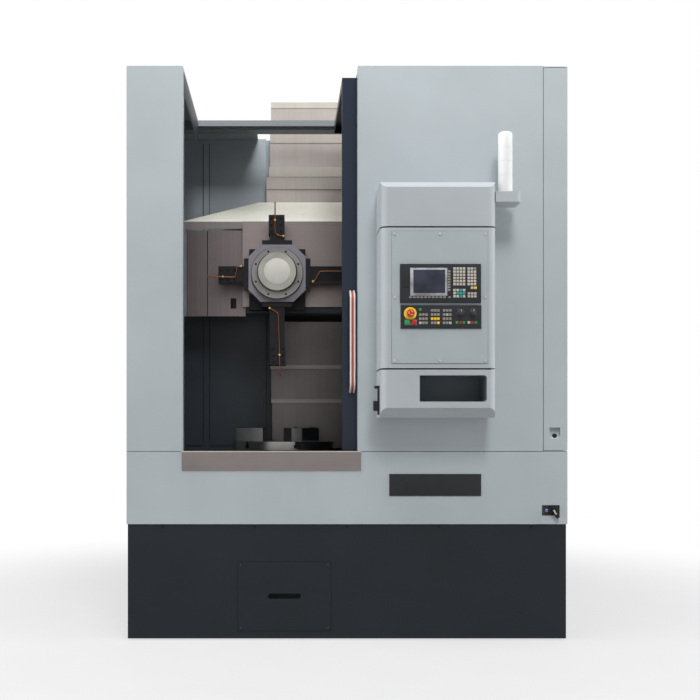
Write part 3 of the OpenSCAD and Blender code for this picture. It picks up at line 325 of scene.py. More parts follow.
SPINDLE = middle("chuck_body")
TURRET = middle("turret_hub")
M = {
    "panel": paint("panel_paint", (0.385, 0.425, 0.445)),
    "console": paint("console_paint", (0.385, 0.415, 0.438), rough=0.4, grain=0.05),
    "plate": paint("plate_paint", (0.36, 0.40, 0.42), rough=0.38, grain=0.08),
    "skirt": paint("skirt_paint", (0.014, 0.018, 0.022), 0.5, 0.1, 0.3, shine=0.2),
    "navy": paint("door_paint", (0.014, 0.020, 0.034), 0.36, 0.08, shine=0.25),
    # Inner walls and chip pan: dark, painted lighter towards the roof as painted light.
    "slate": paint("inner_paint", (0.027, 0.035, 0.043), 0.36, 0.1, shine=0.3,
                   high=(0.305, 0.338, 0.362)),
    # Dark lining of the tray's pocket: painted shade.
    "pocket": paint("pocket_shade_paint", (0.15, 0.176, 0.198), 0.45, 0.06, shine=0.25),
    # Darker grey of the roof crossbar: painted shade where the crossbar lies in shadow; gaskets, seals and
    # seams share it.
    "rail": paint("rail_paint", (0.205, 0.225, 0.237)),
    "sill": brushed("sill_steel", (0.225, 0.20, 0.192), "x", 0.42),
    # Way covers: painted darker towards the floor as painted shade.
    "cover": brushed("cover_steel", (0.47, 0.42, 0.395), "z", 0.36, low=(0.15, 0.132, 0.13),
                     metallic=0.6),
    "hem": brushed("hem_steel", (0.20, 0.182, 0.178), "x", 0.36),
    "cross": brushed("cross_steel", (0.25, 0.212, 0.212), "z", 0.4),
    "slide": brushed("slide_steel", (0.32, 0.275, 0.268), "x", 0.36),
    # Lighter steel for the folds and lips along the covers' tops and the sill's edge: their slope catches
    # real light, and the lighter colour adds painted highlight.
    "bright": brushed("bright_steel", (0.54, 0.51, 0.45), "z", 0.42, 0.06, metallic=0.6),
    "lip": brushed("lip_steel", (0.47, 0.43, 0.39), "z", 0.42, 0.06, metallic=0.7),
    # Saddle hood: painted much lighter on its upward faces as painted highlight.
    "hood": brushed("hood_steel", (0.22, 0.195, 0.19), "z", 0.42, 0.06, up=(0.74, 0.73, 0.65),
                    metallic=0.35),
    "chuck": turned("chuck_steel", (0.36, 0.355, 0.335), place(*SPINDLE)),
    "hub": turned("hub_steel", (0.40, 0.39, 0.345), place(*TURRET), "y", 0.34,
                  rim=(0.1235, (0.27, 0.26, 0.25))),
    "jaw": brushed("jaw_steel", (0.33, 0.33, 0.325), "z", 0.3),
    "iron": casting("cast_paint", (0.14, 0.155, 0.17)),
    "head": paint("turret_paint", (0.20, 0.187, 0.22), rough=0.32, spread=0.06, shine=0.35),
    "oxide": moulded("black_oxide", (0.009, 0.009, 0.011), 0.42),
    "black": moulded("black_plastic", (0.016, 0.017, 0.019), 0.4),
    "switch": moulded("switch_plastic", (0.055, 0.052, 0.052), 0.45),
    "bezel": moulded("bezel_plastic", (0.019, 0.021, 0.025), 0.38),
    "key": moulded("key_plastic", (0.25, 0.235, 0.205), 0.5),
    "pale_key": moulded("pale_key_plastic", (0.47, 0.43, 0.37), 0.5),
    "yellow": moulded("yellow_plastic", (0.80, 0.52, 0.03), 0.4),
    "red": moulded("red_plastic", (0.46, 0.025, 0.022), 0.3),
    "stripe": moulded("stripe_plastic", (0.36, 0.075, 0.075), 0.35),
    "arrow": moulded("arrow_mark", (0.62, 0.36, 0.33), 0.4),
    "green": moulded("green_plastic", (0.03, 0.28, 0.08), 0.3),
    "teal": moulded("teal_plastic", (0.05, 0.30, 0.30), 0.4),
    "blue": moulded("blue_lens", (0.02, 0.10, 0.55), 0.15),
    "white": moulded("white_plastic", (0.72, 0.73, 0.73), 0.3, 0.02, 0.05),
    "cream": moulded("grip_plastic", (0.62, 0.56, 0.51), 0.35, 0.04, 0.06),
    "mark": moulded("mark_plate", (0.58, 0.565, 0.52), 0.45, 0.04, 0.05),
    "rubber": moulded("seal_rubber", (0.012, 0.012, 0.013), 0.65),
    "screw": metal("screw_steel", (0.68, 0.68, 0.68), 0.36),
    # Dark sheet on the roof lip's inner face: painted shade.
    "shade_sheet": moulded("roof_shade_paint", (0.055, 0.064, 0.072), 0.5),
    "dull": metal("dull_screw", (0.085, 0.09, 0.095), 0.45),
    "copper": metal("copper_pipe", (0.44, 0.18, 0.09), 0.32),
    "brass": metal("brass_fitting", (0.66, 0.46, 0.18), 0.25),
    "screen": screen_face("screen_face", (0.020, 0.023, 0.040)),
    "film": screen_face("screen_film", (0.30, 0.31, 0.34)),
    "window": clear_glass("window_glass", (0.80, 0.86, 0.87)),
}

NODES_BY_FINISH = {
    "iron": ["base_casting", "column", "spindle_housing", "motor_pulley", "saddle"],
    "oxide": ["levelling_feet", "drive_motors", "handwheel_hook", "main_switch_handle", "side_door_lock",
              "turret_housing", "tool_holders"],
    "skirt": ["base_skirt", "access_cover"],
    "panel": ["apron_panel", "left_side_panel", "right_front_panel", "right_side_panel", "rear_panel",
              "side_door"],
    "sill": ["sill_plate"],
    "rail": ["roof_crossbar"],
    "slate": ["splash_guard", "chip_pan"],
    "cover": ["fixed_way_covers", "saddle_way_covers", "upper_cover_2", "upper_cover_3", "lower_cover_2"],
    "rubber": ["drive_belt", "control_seals"],
    "console": ["control_cap", "control_console", "control_tray"],
    "plate": ["operator_plate"],
    "bezel": ["display_unit", "key_panel"],
    "screen": ["display_screen"],
    "white": ["signal_tower"],
    "switch": ["main_switch_box"],
    "navy": ["sliding_door"],
    "window": ["door_window"],
    "cream": ["door_handle"],
    "jaw": ["spindle_shaft", "chuck_jaw_1", "chuck_jaw_2", "chuck_jaw_3"],
    "chuck": ["chuck_body"],
    "hood": ["saddle_hood"],
    "slide": ["cross_slide"],
    "cross": ["cross_covers_outer", "cross_covers_middle"],
    "head": ["turret_head"],
    "hub": ["turret_hub"],
    "copper": ["coolant_pipes"],
    "red": ["estop_button", "stop_button"],
    "green": ["start_button"],
    "black": ["feed_knob", "spindle_knob"],
}
for finish, nodes in NODES_BY_FINISH.items():
    for node_name in nodes:
        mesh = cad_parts[node_name].data
        mesh.materials.clear()
        mesh.materials.append(M[finish])


# Shapes

FRONT = (0, -1, 0)
REAR = (0, 1, 0)


def add_box(bm, low, high, bevel=0.0, material=0):
    """A block between two corners in millimetres, with rounded edges."""
    a, b = place(*low), place(*high)
    made = bmesh.ops.create_cube(bm, size=1.0)["verts"]
    size = b - a
    for v in made:
        v.co = v.co * size + (a + b) / 2
    faces = set(f for v in made for f in v.link_faces)
    for f in faces:
        f.material_index = material
    if bevel:
        edges = list(set(e for v in made for e in v.link_edges))
        done = bmesh.ops.bevel(bm, geom=edges, offset=bevel * MM, segments=2, profile=0.5, affect="EDGES")
        for f in done["faces"]:
            f.material_index = material


def add_lathe(bm, centre, normal, profile, segments=24, material=0):
    """A turned form: profile pairs are radius and height along the normal, in millimetres."""
    turn = Vector((0, 0, 1)).rotation_difference(Vector(normal)).to_matrix()
    origin = place(*centre)
    rings = []
    for radius, height in profile:
        count = 1 if radius <= 0 else segments
        ring = []
        for i in range(count):
            angle = 2 * math.pi * i / segments
            local = Vector((radius * math.cos(angle), radius * math.sin(angle), height)) * MM
            ring.append(bm.verts.new(origin + turn @ local))
        rings.append(ring)
    for a, b in zip(rings, rings[1:]):
        for i in range(segments):
            j = (i + 1) % segments
            corners = [a[i % len(a)], a[j % len(a)], b[j % len(b)], b[i % len(b)]]
            unique = list(dict.fromkeys(corners))
            if len(unique) > 2:
                bm.faces.new(unique).material_index = material


def add_loft(bm, outlines, material=0):
    """A closed form through outlines of as many points each, with both ends covered."""
    rings = [[bm.verts.new(point) for point in outline] for outline in outlines]
    faces = [bm.faces.new(rings[0]), bm.faces.new(rings[-1])]
    for a, b in zip(rings, rings[1:]):
        for i in range(len(a)):
            j = (i + 1) % len(a)
            faces.append(bm.faces.new((a[i], a[j], b[j], b[i])))
    for face in faces:
        face.material_index = material


def add_sweep(bm, path, side, section, material=0):
    """A section drawn along a path of points; side is the section's first direction."""
    side = Vector(side)
    outlines = []
    for i, point in enumerate(path):
        tangent = (path[min(i + 1, len(path) - 1)] - path[max(i - 1, 0)]).normalized()
        up = tangent.cross(side).normalized()
        outlines.append([point + (side * u + up * v) * MM for u, v in section])
    add_loft(bm, outlines, material)


def add_prism(bm, x, outline):
    """A side outline in depth and height, drawn out along X."""
    add_loft(bm, [[place(end, y, z) for y, z in outline] for end in x])


def add_plate(bm, outline, front, back, material=0):
    """A flat plate that faces the front, from an outline of (x, z) points."""
    add_loft(bm, [[place(x, y, z) for x, z in outline] for y in (front, back)], material)


def add_radial_block(bm, centre, angle, reach, half, height):
    """A block that points away from an upright axis at an angle."""
    away = Vector((math.cos(angle), math.sin(angle)))
    across = Vector((-away.y, away.x))
    corners = [away * reach[0] - across * half, away * reach[1] - across * half,
               away * reach[1] + across * half, away * reach[0] + across * half]
    add_loft(bm, [[place(centre.x + c.x, centre.y + c.y, z) for c in corners] for z in height])


def smooth_path(points, steps=8):
    """Points along a smooth curve through the given points."""
    out = []
    last = len(points) - 1
    for i in range(last):
        p0, p1 = points[max(i - 1, 0)], points[i]
        p2, p3 = points[i + 1], points[min(i + 2, last)]
        for s in range(steps):
            t = s / steps
            out.append(0.5 * (2 * p1 + (p2 - p0) * t + (2 * p0 - 5 * p1 + 4 * p2 - p3) * t * t
                              + (3 * p1 - p0 - 3 * p2 + p3) * t ** 3))
    out.append(points[-1])
    return out


def circle(radius, count):
    return [(radius * math.cos(2 * math.pi * i / count), radius * math.sin(2 * math.pi * i / count))
            for i in range(count)]


def add_screw(bm, centre, normal, radius=7.0, material=0):
    """Button head with a round socket, seated on a face."""
    h = radius * 0.7
    add_lathe(bm, centre, normal,
              [(0, 0.3 * h), (0.42 * radius, 0.3 * h), (0.45 * radius, h), (0.75 * radius, 0.95 * h),
               (0.95 * radius, 0.6 * h), (radius, 0), (0, -0.2 * h)], 14, material)


def add_frame(bm, low, high, depth, width, material=0):
    """A thin frame of four strips around a plate, between its lower left and upper right corners.

    depth is where the strips start and end in Y.
    """
    for x0, x1, z0, z1 in ((low[0] - width, low[0], low[1] - width, high[1] + width),
                           (high[0], high[0] + width, low[1] - width, high[1] + width),
                           (low[0], high[0], low[1] - width, low[1]),
                           (low[0], high[0], high[1], high[1] + width)):
        add_box(bm, (x0, depth[0], z0), (x1, depth[1], z1), 0.3, material)


def piece(name, bm, materials, body, replaces=(), smooth=True):
    """Turns a mesh into a piece that rides on a body."""
    bmesh.ops.recalc_face_normals(bm, faces=bm.faces)
    mesh = bpy.data.meshes.new(name)
    bm.to_mesh(mesh)
    bm.free()
    for key in materials:
        mesh.materials.append(M[key])
    obj = bpy.data.objects.new(name, mesh)
    bpy.context.scene.collection.objects.link(obj)
    if smooth:
        for poly in mesh.polygons:
            poly.use_smooth = True
        mesh.set_sharp_from_angle(angle=math.radians(35))
    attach(obj, body)
    if replaces:
        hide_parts(*replaces)


# Fittings

NAME_PLATE = ((228, 778), (724, 897))
WALL_SHEET = 6
WALL_SEAMS = (-887, -846)
WALL_SEAM_ENDS = (1048, 3066)
SERVICE_COVER = ((-480, 1500), (480, 2700))
PANEL_SCREWS = [60 + 470 * i for i in range(6)]
SWITCH_HUB = 24
SWITCH_TURN = math.radians(-58)


def skirt_and_cover():
    """Screws of the skirt, of the access cover and of the rear panel, and the cover's gasket."""
    bm = bmesh.new()
    low, high = limits("base_skirt")
    z = high.z - 13
    for x in (499 * i for i in range(-2, 3)):
        add_screw(bm, (x, low.y, z), FRONT)
        add_screw(bm, (x, high.y, z), REAR)
    for y in (200 + 450 * i for i in range(5)):
        add_screw(bm, (low.x, y, z), (-1, 0, 0))
        add_screw(bm, (high.x, y, z), (1, 0, 0))
    piece("skirt_screws", bm, ["rubber"], "enclosure")

    bm = bmesh.new()
    low, high = limits("access_cover")
    inset = 14
    for x in (low.x + inset, high.x - inset):
        for z in (low.z + inset, high.z - inset):
            add_screw(bm, (x, low.y, z), FRONT, 6)
    rear_low, rear_high = limits("rear_panel")
    for x in (rear_low.x + 25, 0, rear_high.x - 25):
        for z in (rear_low.z + rise for rise in PANEL_SCREWS):
            if x or not SERVICE_COVER[0][1] < z < SERVICE_COVER[1][1]:
                add_screw(bm, (x, rear_high.y, z), REAR)
    piece("enclosure_screws", bm, ["dull"], "enclosure")

    bm = bmesh.new()
    add_frame(bm, (low.x, low.z), (high.x, high.z), (high.y - 1.5, high.y), 4)
    piece("access_gasket", bm, ["rubber"], "enclosure")


def front_trim():
    """Blank name plate, seams of the back wall, a bright strip on the sill's top edge as painted highlight,
    a dark sheet on the roof lip as painted shade, and dark strips on the crossbar as painted shade.
    """
    (x0, z0), (x1, z1) = NAME_PLATE
    border = 6
    bm = bmesh.new()
    add_box(bm, (x0, -4, z0), (x1, 0, z1), 1.0, 0)
    add_box(bm, (x0 + border, -4.6, z0 + border), (x1 - border, -3.5, z1 - border), 0.3, 1)
    piece("name_plate", bm, ["bezel", "black"], "enclosure")

    wall_y = limits("column")[0].y - WALL_SHEET
    bm = bmesh.new()
    for x in WALL_SEAMS:
        add_box(bm, (x, wall_y - 1.5, WALL_SEAM_ENDS[0]), (x + 3.5, wall_y, WALL_SEAM_ENDS[1]), 0.5)
    piece("wall_seams", bm, ["rubber"], "enclosure")

    # A bright strip on the sill's top front edge: painted highlight.
    low, high = limits("sill_plate")
    bm = bmesh.new()
    add_box(bm, (low.x, low.y - 1.5, high.z - 5), (high.x, low.y, high.z), 0.7)
    piece("sill_edge_highlight", bm, ["bright"], "enclosure")

    # A dark sheet on the inner face of the left roof lip: painted shade where that lip lies in shadow.
    high = limits("left_side_panel")[1]
    rail_low, rail_high = limits("roof_crossbar")
    bm = bmesh.new()
    add_box(bm, (high.x, 45, high.z - 145), (high.x + 1.4, rail_low.y - 4, high.z - 16), 0.5)
    piece("roof_edge_shade_sheet", bm, ["shade_sheet"], "enclosure")
    # Dark strips along the crossbar's front: painted shade under its groove and lip.
    bm = bmesh.new()
    for foot, top in ((rail_low.z, rail_low.z + 5), (rail_high.z - 43, rail_high.z - 37)):
        add_box(bm, (high.x, rail_low.y - 1, foot), (rail_high.x, rail_low.y, top), 0.3)
    piece("crossbar_shade_strips", bm, ["rubber"], "enclosure")


def main_switch():
    """Pilot lamp and the pointer on the switch lever."""
    low = limits("main_switch_box")[0]
    z = middle("main_switch_box").z
    lamp = (low.x + 26, low.y, z)
    bm = bmesh.new()
    add_lathe(bm, lamp, FRONT, [(0, 0), (8, 0), (8, 2), (6.5, 3), (6.5, 0.5)], 20, 0)
    add_lathe(bm, lamp, FRONT, [(6.4, 0.5), (6.2, 3.5), (4, 5.5), (0, 6)], 20, 1)
    piece("pilot_lamp", bm, ["screw", "blue"], "enclosure")

    lever = limits("main_switch_handle")[0]
    hub = Vector((lever.x + SWITCH_HUB, z))
    along = Vector((math.cos(SWITCH_TURN), math.sin(SWITCH_TURN)))
    across = Vector((-along.y, along.x))
    corners = [hub + along * reach + across * half for reach, half in ((-4, -5), (24, -4), (24, 4), (-4, 5))]
    bm = bmesh.new()
    add_plate(bm, corners, lever.y - 1.2, lever.y + 0.5)
    piece("switch_pointer", bm, ["pale_key"], "main_switch", smooth=False)


def door_grip():
    """Two pale bars with a red stripe between them, bent back to the door at both ends."""
    low, high = limits("door_handle")
    centre = middle("door_handle")
    bow = low.y + 9
    lower = [(high.y, 8), (high.y - 26, 22), (bow + 8, 36), (bow, 80)]
    route = [(y, low.z + rise) for y, rise in lower] + [(bow, centre.z)]
    route += [(y, high.z - rise) for y, rise in reversed(lower)]
    path = smooth_path([place(centre.x, y, z) for y, z in route])
    bm = bmesh.new()
    for offset in (-10, 10):
        bar = [(offset + 5.6 * math.cos(a), 9 * math.sin(a)) for a in
               (2 * math.pi * (i + 0.5) / 14 for i in range(14))]
        add_sweep(bm, path, (1, 0, 0), bar, 0)
    add_sweep(bm, path, (1, 0, 0), [(-5, -5), (5, -5), (5, 5), (-5, 5)], 1)
    for z in (low.z + 8, high.z - 8):
        add_box(bm, (centre.x - 14, high.y - 5, z - 12), (centre.x + 14, high.y, z + 12), 2, 2)
    piece("door_grip", bm, ["cream", "stripe", "navy"], "door", ["door_handle"])


def door_trim():
    """Rubber gasket and steel frame around the window."""
    low, high = limits("door_window")
    y = limits("sliding_door")[0].y
    lap, strip, bead = 10, 26, 8
    x0, x1, z0, z1 = low.x + lap, high.x - lap, low.z + lap, high.z - lap
    bm = bmesh.new()
    for a, b in (((x0 - strip, z0 - strip), (x1 + strip, z0)), ((x0 - strip, z1), (x1 + strip, z1 + strip)),
                 ((x0 - strip, z0), (x0, z1)), ((x1, z0), (x1 + strip, z1))):
        add_box(bm, (a[0], y - 2.5, a[1]), (b[0], y, b[1]), 1, 0)
    for a, b in (((x0, z0), (x1, z0 + bead)), ((x0, z1 - bead), (x1, z1)),
                 ((x0, z0 + bead), (x0 + bead, z1 - bead)), ((x1 - bead, z0 + bead), (x1, z1 - bead))):
        add_box(bm, (a[0], y + 4, a[1]), (b[0], low.y, b[1]), 1.5, 1)
    piece("window_frame", bm, ["screw", "rubber"], "door")


def signal_light():
    """White tube on a collar, with fine joints and a domed top."""
    low, high = limits("signal_tower")
    centre = middle("signal_tower")
    r = (high.x - low.x) / 2
    h = high.z - low.z
    profile = [(0, 0), (r, 0), (r, 14), (r - 0.8, 14.6), (r - 0.8, 16.4), (r, 17)]
    for i in (1, 2, 3):
        z = 26 + i * (h - 40) / 4
        profile += [(r, z - 1.2), (r - 0.9, z - 0.8), (r - 0.9, z + 0.8), (r, z + 1.2)]
    profile += [(r, h - 12), (r - 2, h - 5), (r - 8, h - 1), (0, h)]
    bm = bmesh.new()
    add_lathe(bm, (centre.x, centre.y, low.z), (0, 0, 1), profile, 40)
    piece("signal_light", bm, ["white"], "enclosure", ["signal_tower"])


def add_keys(bm, x, z, count, pitch, size, y, material, odd=None):
    """A block of keys from its upper left corner; count, pitch and size go across and down.

    odd maps (column, row) to another material.
    """
    for i in range(count[0]):
        for j in range(count[1]):
            left, top = x + i * pitch[0], z - j * pitch[1]
            kind = (odd or {}).get((i, j), material)
            add_box(bm, (left, y - 2.2, top - size[1]), (left + size[0], y + 0.5, top), 0.8, kind)


DISPLAY_DEPTH = 12
KEY_PANEL_DEPTH = 6


def display():
    """Bezel, screen with its film and the blocks of keys."""
    low, high = limits("display_unit")
    y = high.y - DISPLAY_DEPTH
    bezel, black, key, pale, teal, yellow = range(6)
    soft, letter, number = (14, 7.5), (13, 12.6), (13, 11.6)
    bm = bmesh.new()
    add_box(bm, (low.x, y, low.z), (high.x, high.y, high.z), 3, bezel)
    add_box(bm, (268, y - 1, 1868), (307, y + 1, 1934), 1.2, black)
    add_keys(bm, 504, 1958, (1, 8), (1, 13.8), (14, 9.5), y, key)
    add_keys(bm, 305, 1823, (10, 1), (19.5, 1), soft, y, key)
    add_keys(bm, 508, 1823, (1, 1), (1, 1), (12, 7.5), y, key)
    add_keys(bm, 533, 1973, (4, 6), (16.3, 16.1), letter, y, pale)
    add_keys(bm, 606, 1973, (3, 6), (16.0, 16.1), letter, y, pale, {(2, 0): key})
    arrows = {spot: teal for spot in ((2, 0), (1, 1), (2, 1), (3, 1), (2, 2))}
    add_keys(bm, 533, 1862, (4, 3), (16.3, 16.0), letter, y, pale, arrows)
    add_keys(bm, 607, 1844, (3, 2), (16.3, 14.8), number, y, pale)
    add_keys(bm, 623, 1874, (2, 1), (17, 1), (14, 12.6), y, pale, {(1, 0): yellow})
    piece("display_face", bm, ["bezel", "black", "key", "pale_key", "teal", "yellow"], "enclosure",
          ["display_unit"])

    low, high = limits("display_screen")
    bm = bmesh.new()
    add_box(bm, (low.x - 16, y - 0.8, low.z - 14), (high.x + 11, y - 0.1, high.z + 10), 0.2, 0)
    add_box(bm, (low.x, y - 1.6, low.z), (high.x, y - 0.3, high.z), 0.4, 1)
    piece("screen_pane", bm, ["film", "screen"], "enclosure", ["display_screen"])


def machine_keys():
    """Key panel with its emergency stop collar, key groups, lamps and the dials around the knobs."""
    low, high = limits("key_panel")
    y = high.y - KEY_PANEL_DEPTH
    bezel, yellow, key, pale, green, red, black = range(7)
    pitch, size = (16, 21.3), (13, 13)
    bm = bmesh.new()
    add_box(bm, (low.x, y, low.z), (high.x, high.y, high.z), 2, bezel)
    stop = middle("estop_button")
    add_lathe(bm, (stop.x, y, stop.z), FRONT,
              [(10, 0), (32.5, 0), (32.5, 2), (30, 3), (12, 3), (10, 2)], 40, yellow)
    gap = 0.5
    for node in ("start_button", "stop_button"):
        low, high = limits(node)
        add_frame(bm, (low.x - gap, low.z - gap), (high.x + gap, high.z + gap), (y - 4, y), 2, key)
    add_keys(bm, 357, 1763, (1, 1), pitch, size, y, green)
    add_keys(bm, 357, 1736.5, (3, 3), pitch, size, y, key, {(0, 2): pale})
    modes = {spot: yellow for spot in ((0, 2), (1, 2), (2, 2), (2, 3))}
    add_keys(bm, 418.5, 1758, (3, 4), pitch, size, y, key, modes)
    add_keys(bm, 480, 1758, (3, 4), pitch, size, y, key, {(1, 1): pale, (2, 3): pale})
    for x, kind in ((552, green), (571, red), (588.5, green), (614.5, pale), (632, red), (650, green)):
        add_keys(bm, x - size[0] / 2, 1696, (1, 1), pitch, size, y, kind)
    dial, mark_r, half, marks = (17.6, 24), 21.5, 0.7, 15
    for node in ("feed_knob", "spindle_knob"):
        knob = middle(node)
        ring = [(dial[0], 0), (dial[1], 0), (dial[1], 0.8), (dial[0], 0.8), (dial[0], 0)]
        add_lathe(bm, (knob.x, y, knob.z), FRONT, ring, 40, black)
        for i in range(marks):
            angle = math.radians(225 - i * 270 / (marks - 1))
            x, z = knob.x + mark_r * math.cos(angle), knob.z + mark_r * math.sin(angle)
            add_box(bm, (x - half, y - 1.3, z - half), (x + half, y - 0.5, z + half), 0, pale)
    piece("key_field", bm, ["bezel", "yellow", "key", "pale_key", "green", "red", "black"],
          "enclosure", ["key_panel"])


def push_buttons():
    """Mushroom head of the emergency stop with its three arcs, and square start and stop buttons."""
    low, high = limits("estop_button")
    centre = middle("estop_button")
    r = (high.x - low.x) / 2
    depth = high.y - low.y
    bm = bmesh.new()
    add_lathe(bm, (centre.x, high.y, centre.z), FRONT,
              [(0, 0), (9, 0), (9, depth - 20), (r - 4, depth - 19), (r, depth - 14),
               (r, depth - 8), (r - 3, depth - 3), (r - 9, depth - 0.6), (0, depth)], 40)
    for k in range(3):
        arc = [math.radians(20 + 120 * k + 14 * i) for i in range(6)]
        rim = [(8, t) for t in arc] + [(13, t) for t in reversed(arc)]
        outline = [(centre.x + a * math.cos(t), centre.z + a * math.sin(t)) for a, t in rim]
        add_plate(bm, outline, low.y - 0.4, low.y + 0.6, 1)
    piece("estop_head", bm, ["red", "arrow"], "estop", ["estop_button"])
    for body, colour in (("start", "green"), ("stop", "red")):
        low, high = limits(f"{body}_button")
        bm = bmesh.new()
        add_box(bm, low, high, 2.4)
        add_box(bm, (low.x + 4, low.y - 0.5, low.z + 4), (high.x - 4, low.y + 0.5, high.z - 4), 0.5)
        piece(f"{body}_cap", bm, [colour], body, [f"{body}_button"])


def knobs():
    """Override knobs with a grip, a ridge across its face, a skirt and a white pointer line."""
    y = limits("key_panel")[1].y - KEY_PANEL_DEPTH - 0.3
    grip = [(0, 0), (17, 0), (17, 5), (14, 7), (13.2, 20), (11.5, 21.7), (0, 21.7)]
    for node, body in (("feed_knob", "feed"), ("spindle_knob", "speed")):
        x, _, z = middle(node)
        bm = bmesh.new()
        add_lathe(bm, (x, y, z), FRONT, grip, 36, 0)
        add_box(bm, (x - 3, y - 27, z - 13), (x + 3, y - 20, z + 13), 1.5, 0)
        add_box(bm, (x - 0.8, y - 27.5, z + 2), (x + 0.8, y - 26.8, z + 12), 0, 1)
        add_lathe(bm, (x, y + 8, z), FRONT, [(0, 0), (6, 0), (6, 8.5), (0, 8.5)], 16, 0)
        piece(f"{body}_grip", bm, ["switch", "white"], body, [node])


POCKET = ((362, 1281), (710, 1418))
POCKET_BACK = -25


def pocket_shade_liner():
    """Dark lining of the tray's pocket, square on the left and rounded on the right: painted shade inside
    the pocket.
    """
    (x0, z0), (x1, z1) = POCKET
    front = limits("control_tray")[0].y + 0.5
    r, wall = 14, 1.2
    quarter = [math.pi / 2 * i / 6 for i in range(7)]
    face = [(x0, z0), (x1 - r, z0)]
    face += [(x1 - r + r * math.sin(a), z0 + r - r * math.cos(a)) for a in quarter[1:]]
    face += [(x1 - r + r * math.cos(a), z1 - r + r * math.sin(a)) for a in quarter]
    face += [(x0, z1)]
    cx, cz = (x0 + x1) / 2, (z0 + z1) / 2
    sx, sz = 1 - 2 * wall / (x1 - x0), 1 - 2 * wall / (z1 - z0)
    inner = [(cx + (x - cx) * sx, cz + (z - cz) * sz) for x, z in face]
    bm = bmesh.new()
    add_loft(bm, [[place(x, y, z) for x, z in outline] for outline, y in
                  ((face, POCKET_BACK), (face, front), (inner, front), (inner, POCKET_BACK - wall))])
    piece("pocket_shade_liner", bm, ["pocket"], "enclosure")


def operator_screws():
    """Eight screws around the operator plate, and its gasket."""
    low, high = limits("operator_plate")
    centre = middle("operator_plate")
    inset = 14
    bm = bmesh.new()
    for x in (low.x + inset, centre.x, high.x - inset):
        for z in (low.z + inset, centre.z, high.z - inset):
            if (x, z) != (centre.x, centre.z):
                add_screw(bm, (x, low.y, z), FRONT)
    piece("plate_screws", bm, ["screw"], "enclosure")
    bm = bmesh.new()
    add_frame(bm, (low.x, low.z), (high.x, high.z), (high.y - 0.8, high.y), 2.5)
    piece("plate_gasket", bm, ["rail"], "enclosure")


# Places across and up from the turret's axis: coolant pipes, and the fittings along them.
PIPES = (
    [(-13, 448), (-13, 360), (-13, 275), (-8, 253), (8, 240), (40, 234)],
    [(-448, -18), (-360, -20), (-276, -22), (-262, -16), (-250, 36), (-226, 46)],
    [(224, -50), (236, -42), (259, -4), (286, 14), (460, 14), (638, 14)],
    [(-47, -216), (-5, -240), (8, -268), (12, -390), (15, -504), (18, -638)],
)
PIPE_FITTINGS = ((-13, 334), (-340, -20), (224, -50), (15, -508), (40, 234), (-226, 46), (-47, -216))
PIPE_Y = middle("coolant_pipes").y
HOLDER_Y = 843
HOLDER_LENGTHS = (190, 393, 393, 190)
HUB_FLANGE = 14
HUB_BOLTS = 143


def add_turret_marks(bm, y):
    """Four short lines around the hub's disc."""
    for i in range(4):
        angle = math.radians(90 * i)
        x, z = TURRET.x + 55 * math.cos(angle), TURRET.z + 55 * math.sin(angle)
        wide, tall = (9, 0.8) if i % 2 == 0 else (0.8, 9)
        add_box(bm, (x - wide, y - 1.8, z - tall), (x + wide, y - 1, z + tall), 0, 1)


def turret_fittings():
    """Screws, pale disc, bolts of the tool holders, brass fittings and bent coolant pipes."""
    hub_low, hub_high = limits("turret_hub")
    head_low, head_high = limits("turret_head")
    face = (head_high.x - head_low.x) / 2
    bm = bmesh.new()
    for i in range(8):
        angle = math.radians(22.5 + 45 * i)
        x, z = TURRET.x + HUB_BOLTS * math.cos(angle), TURRET.z + HUB_BOLTS * math.sin(angle)
        add_screw(bm, (x, hub_high.y - HUB_FLANGE, z), FRONT, 6.5)
    for i, length in enumerate(HOLDER_LENGTHS):
        spin = Matrix.Rotation(math.radians(90 * i), 3, "Y")
        spots = [(side * 74, face + 15, -12) for side in (-1, 1)]
        spots += [(-6 + side * 30, face + length - 118 + row * 38, 4)
                  for side in (-1, 1) for row in (0.4, 1.5, 2.6)]
        for u, v, proud in spots:
            p = spin @ Vector((u, 0, v))
            add_screw(bm, (TURRET.x + p.x, HOLDER_Y - proud, TURRET.z + p.z), FRONT, 8)
    piece("turret_screws", bm, ["oxide"], "turret")

    bm = bmesh.new()
    add_lathe(bm, (TURRET.x, hub_low.y, TURRET.z), FRONT,
              [(0, 0), (80, 0), (80, 0.8), (78, 1.4), (0, 1.4)], 64, 0)
    add_turret_marks(bm, hub_low.y)
    piece("hub_plate", bm, ["mark", "screw"], "turret")

    bm = bmesh.new()
    for points in PIPES:
        path = smooth_path([place(TURRET.x + u, PIPE_Y, TURRET.z + v) for u, v in points])
        add_sweep(bm, path, (0, 1, 0), circle(4, 12), 0)
    for u, v in PIPE_FITTINGS:
        add_lathe(bm, (TURRET.x + u, PIPE_Y + 5, TURRET.z + v), FRONT,
                  [(0, 0), (8, 0), (8, 7), (6.5, 9), (6.5, 13), (0, 14)], 6, 1)
    piece("coolant_lines", bm, ["copper", "brass"], "turret", ["coolant_pipes"])


HEM = 26
COVER_STEP = 6
WIPER = ((24, 1900), (24, 1884), (6, 1860), (0, 1860), (0, 1900))


def add_lip(name, x, y, top, rise, proud, finish, body):
    """Bright sloped lip along the top of a way cover."""
    bm = bmesh.new()
    add_prism(bm, x, [(y, top), (y - proud, top - rise), (y, top - rise)])
    piece(name, bm, [finish], body, smooth=False)


def add_hem(name, x, y, foot, body):
    """Dark hem along the foot of a way cover."""
    bm = bmesh.new()
    add_prism(bm, x, [(y, foot + HEM), (y - 2, foot + HEM), (y - 2, foot), (y, foot)])
    piece(name, bm, ["hem"], body, smooth=False)


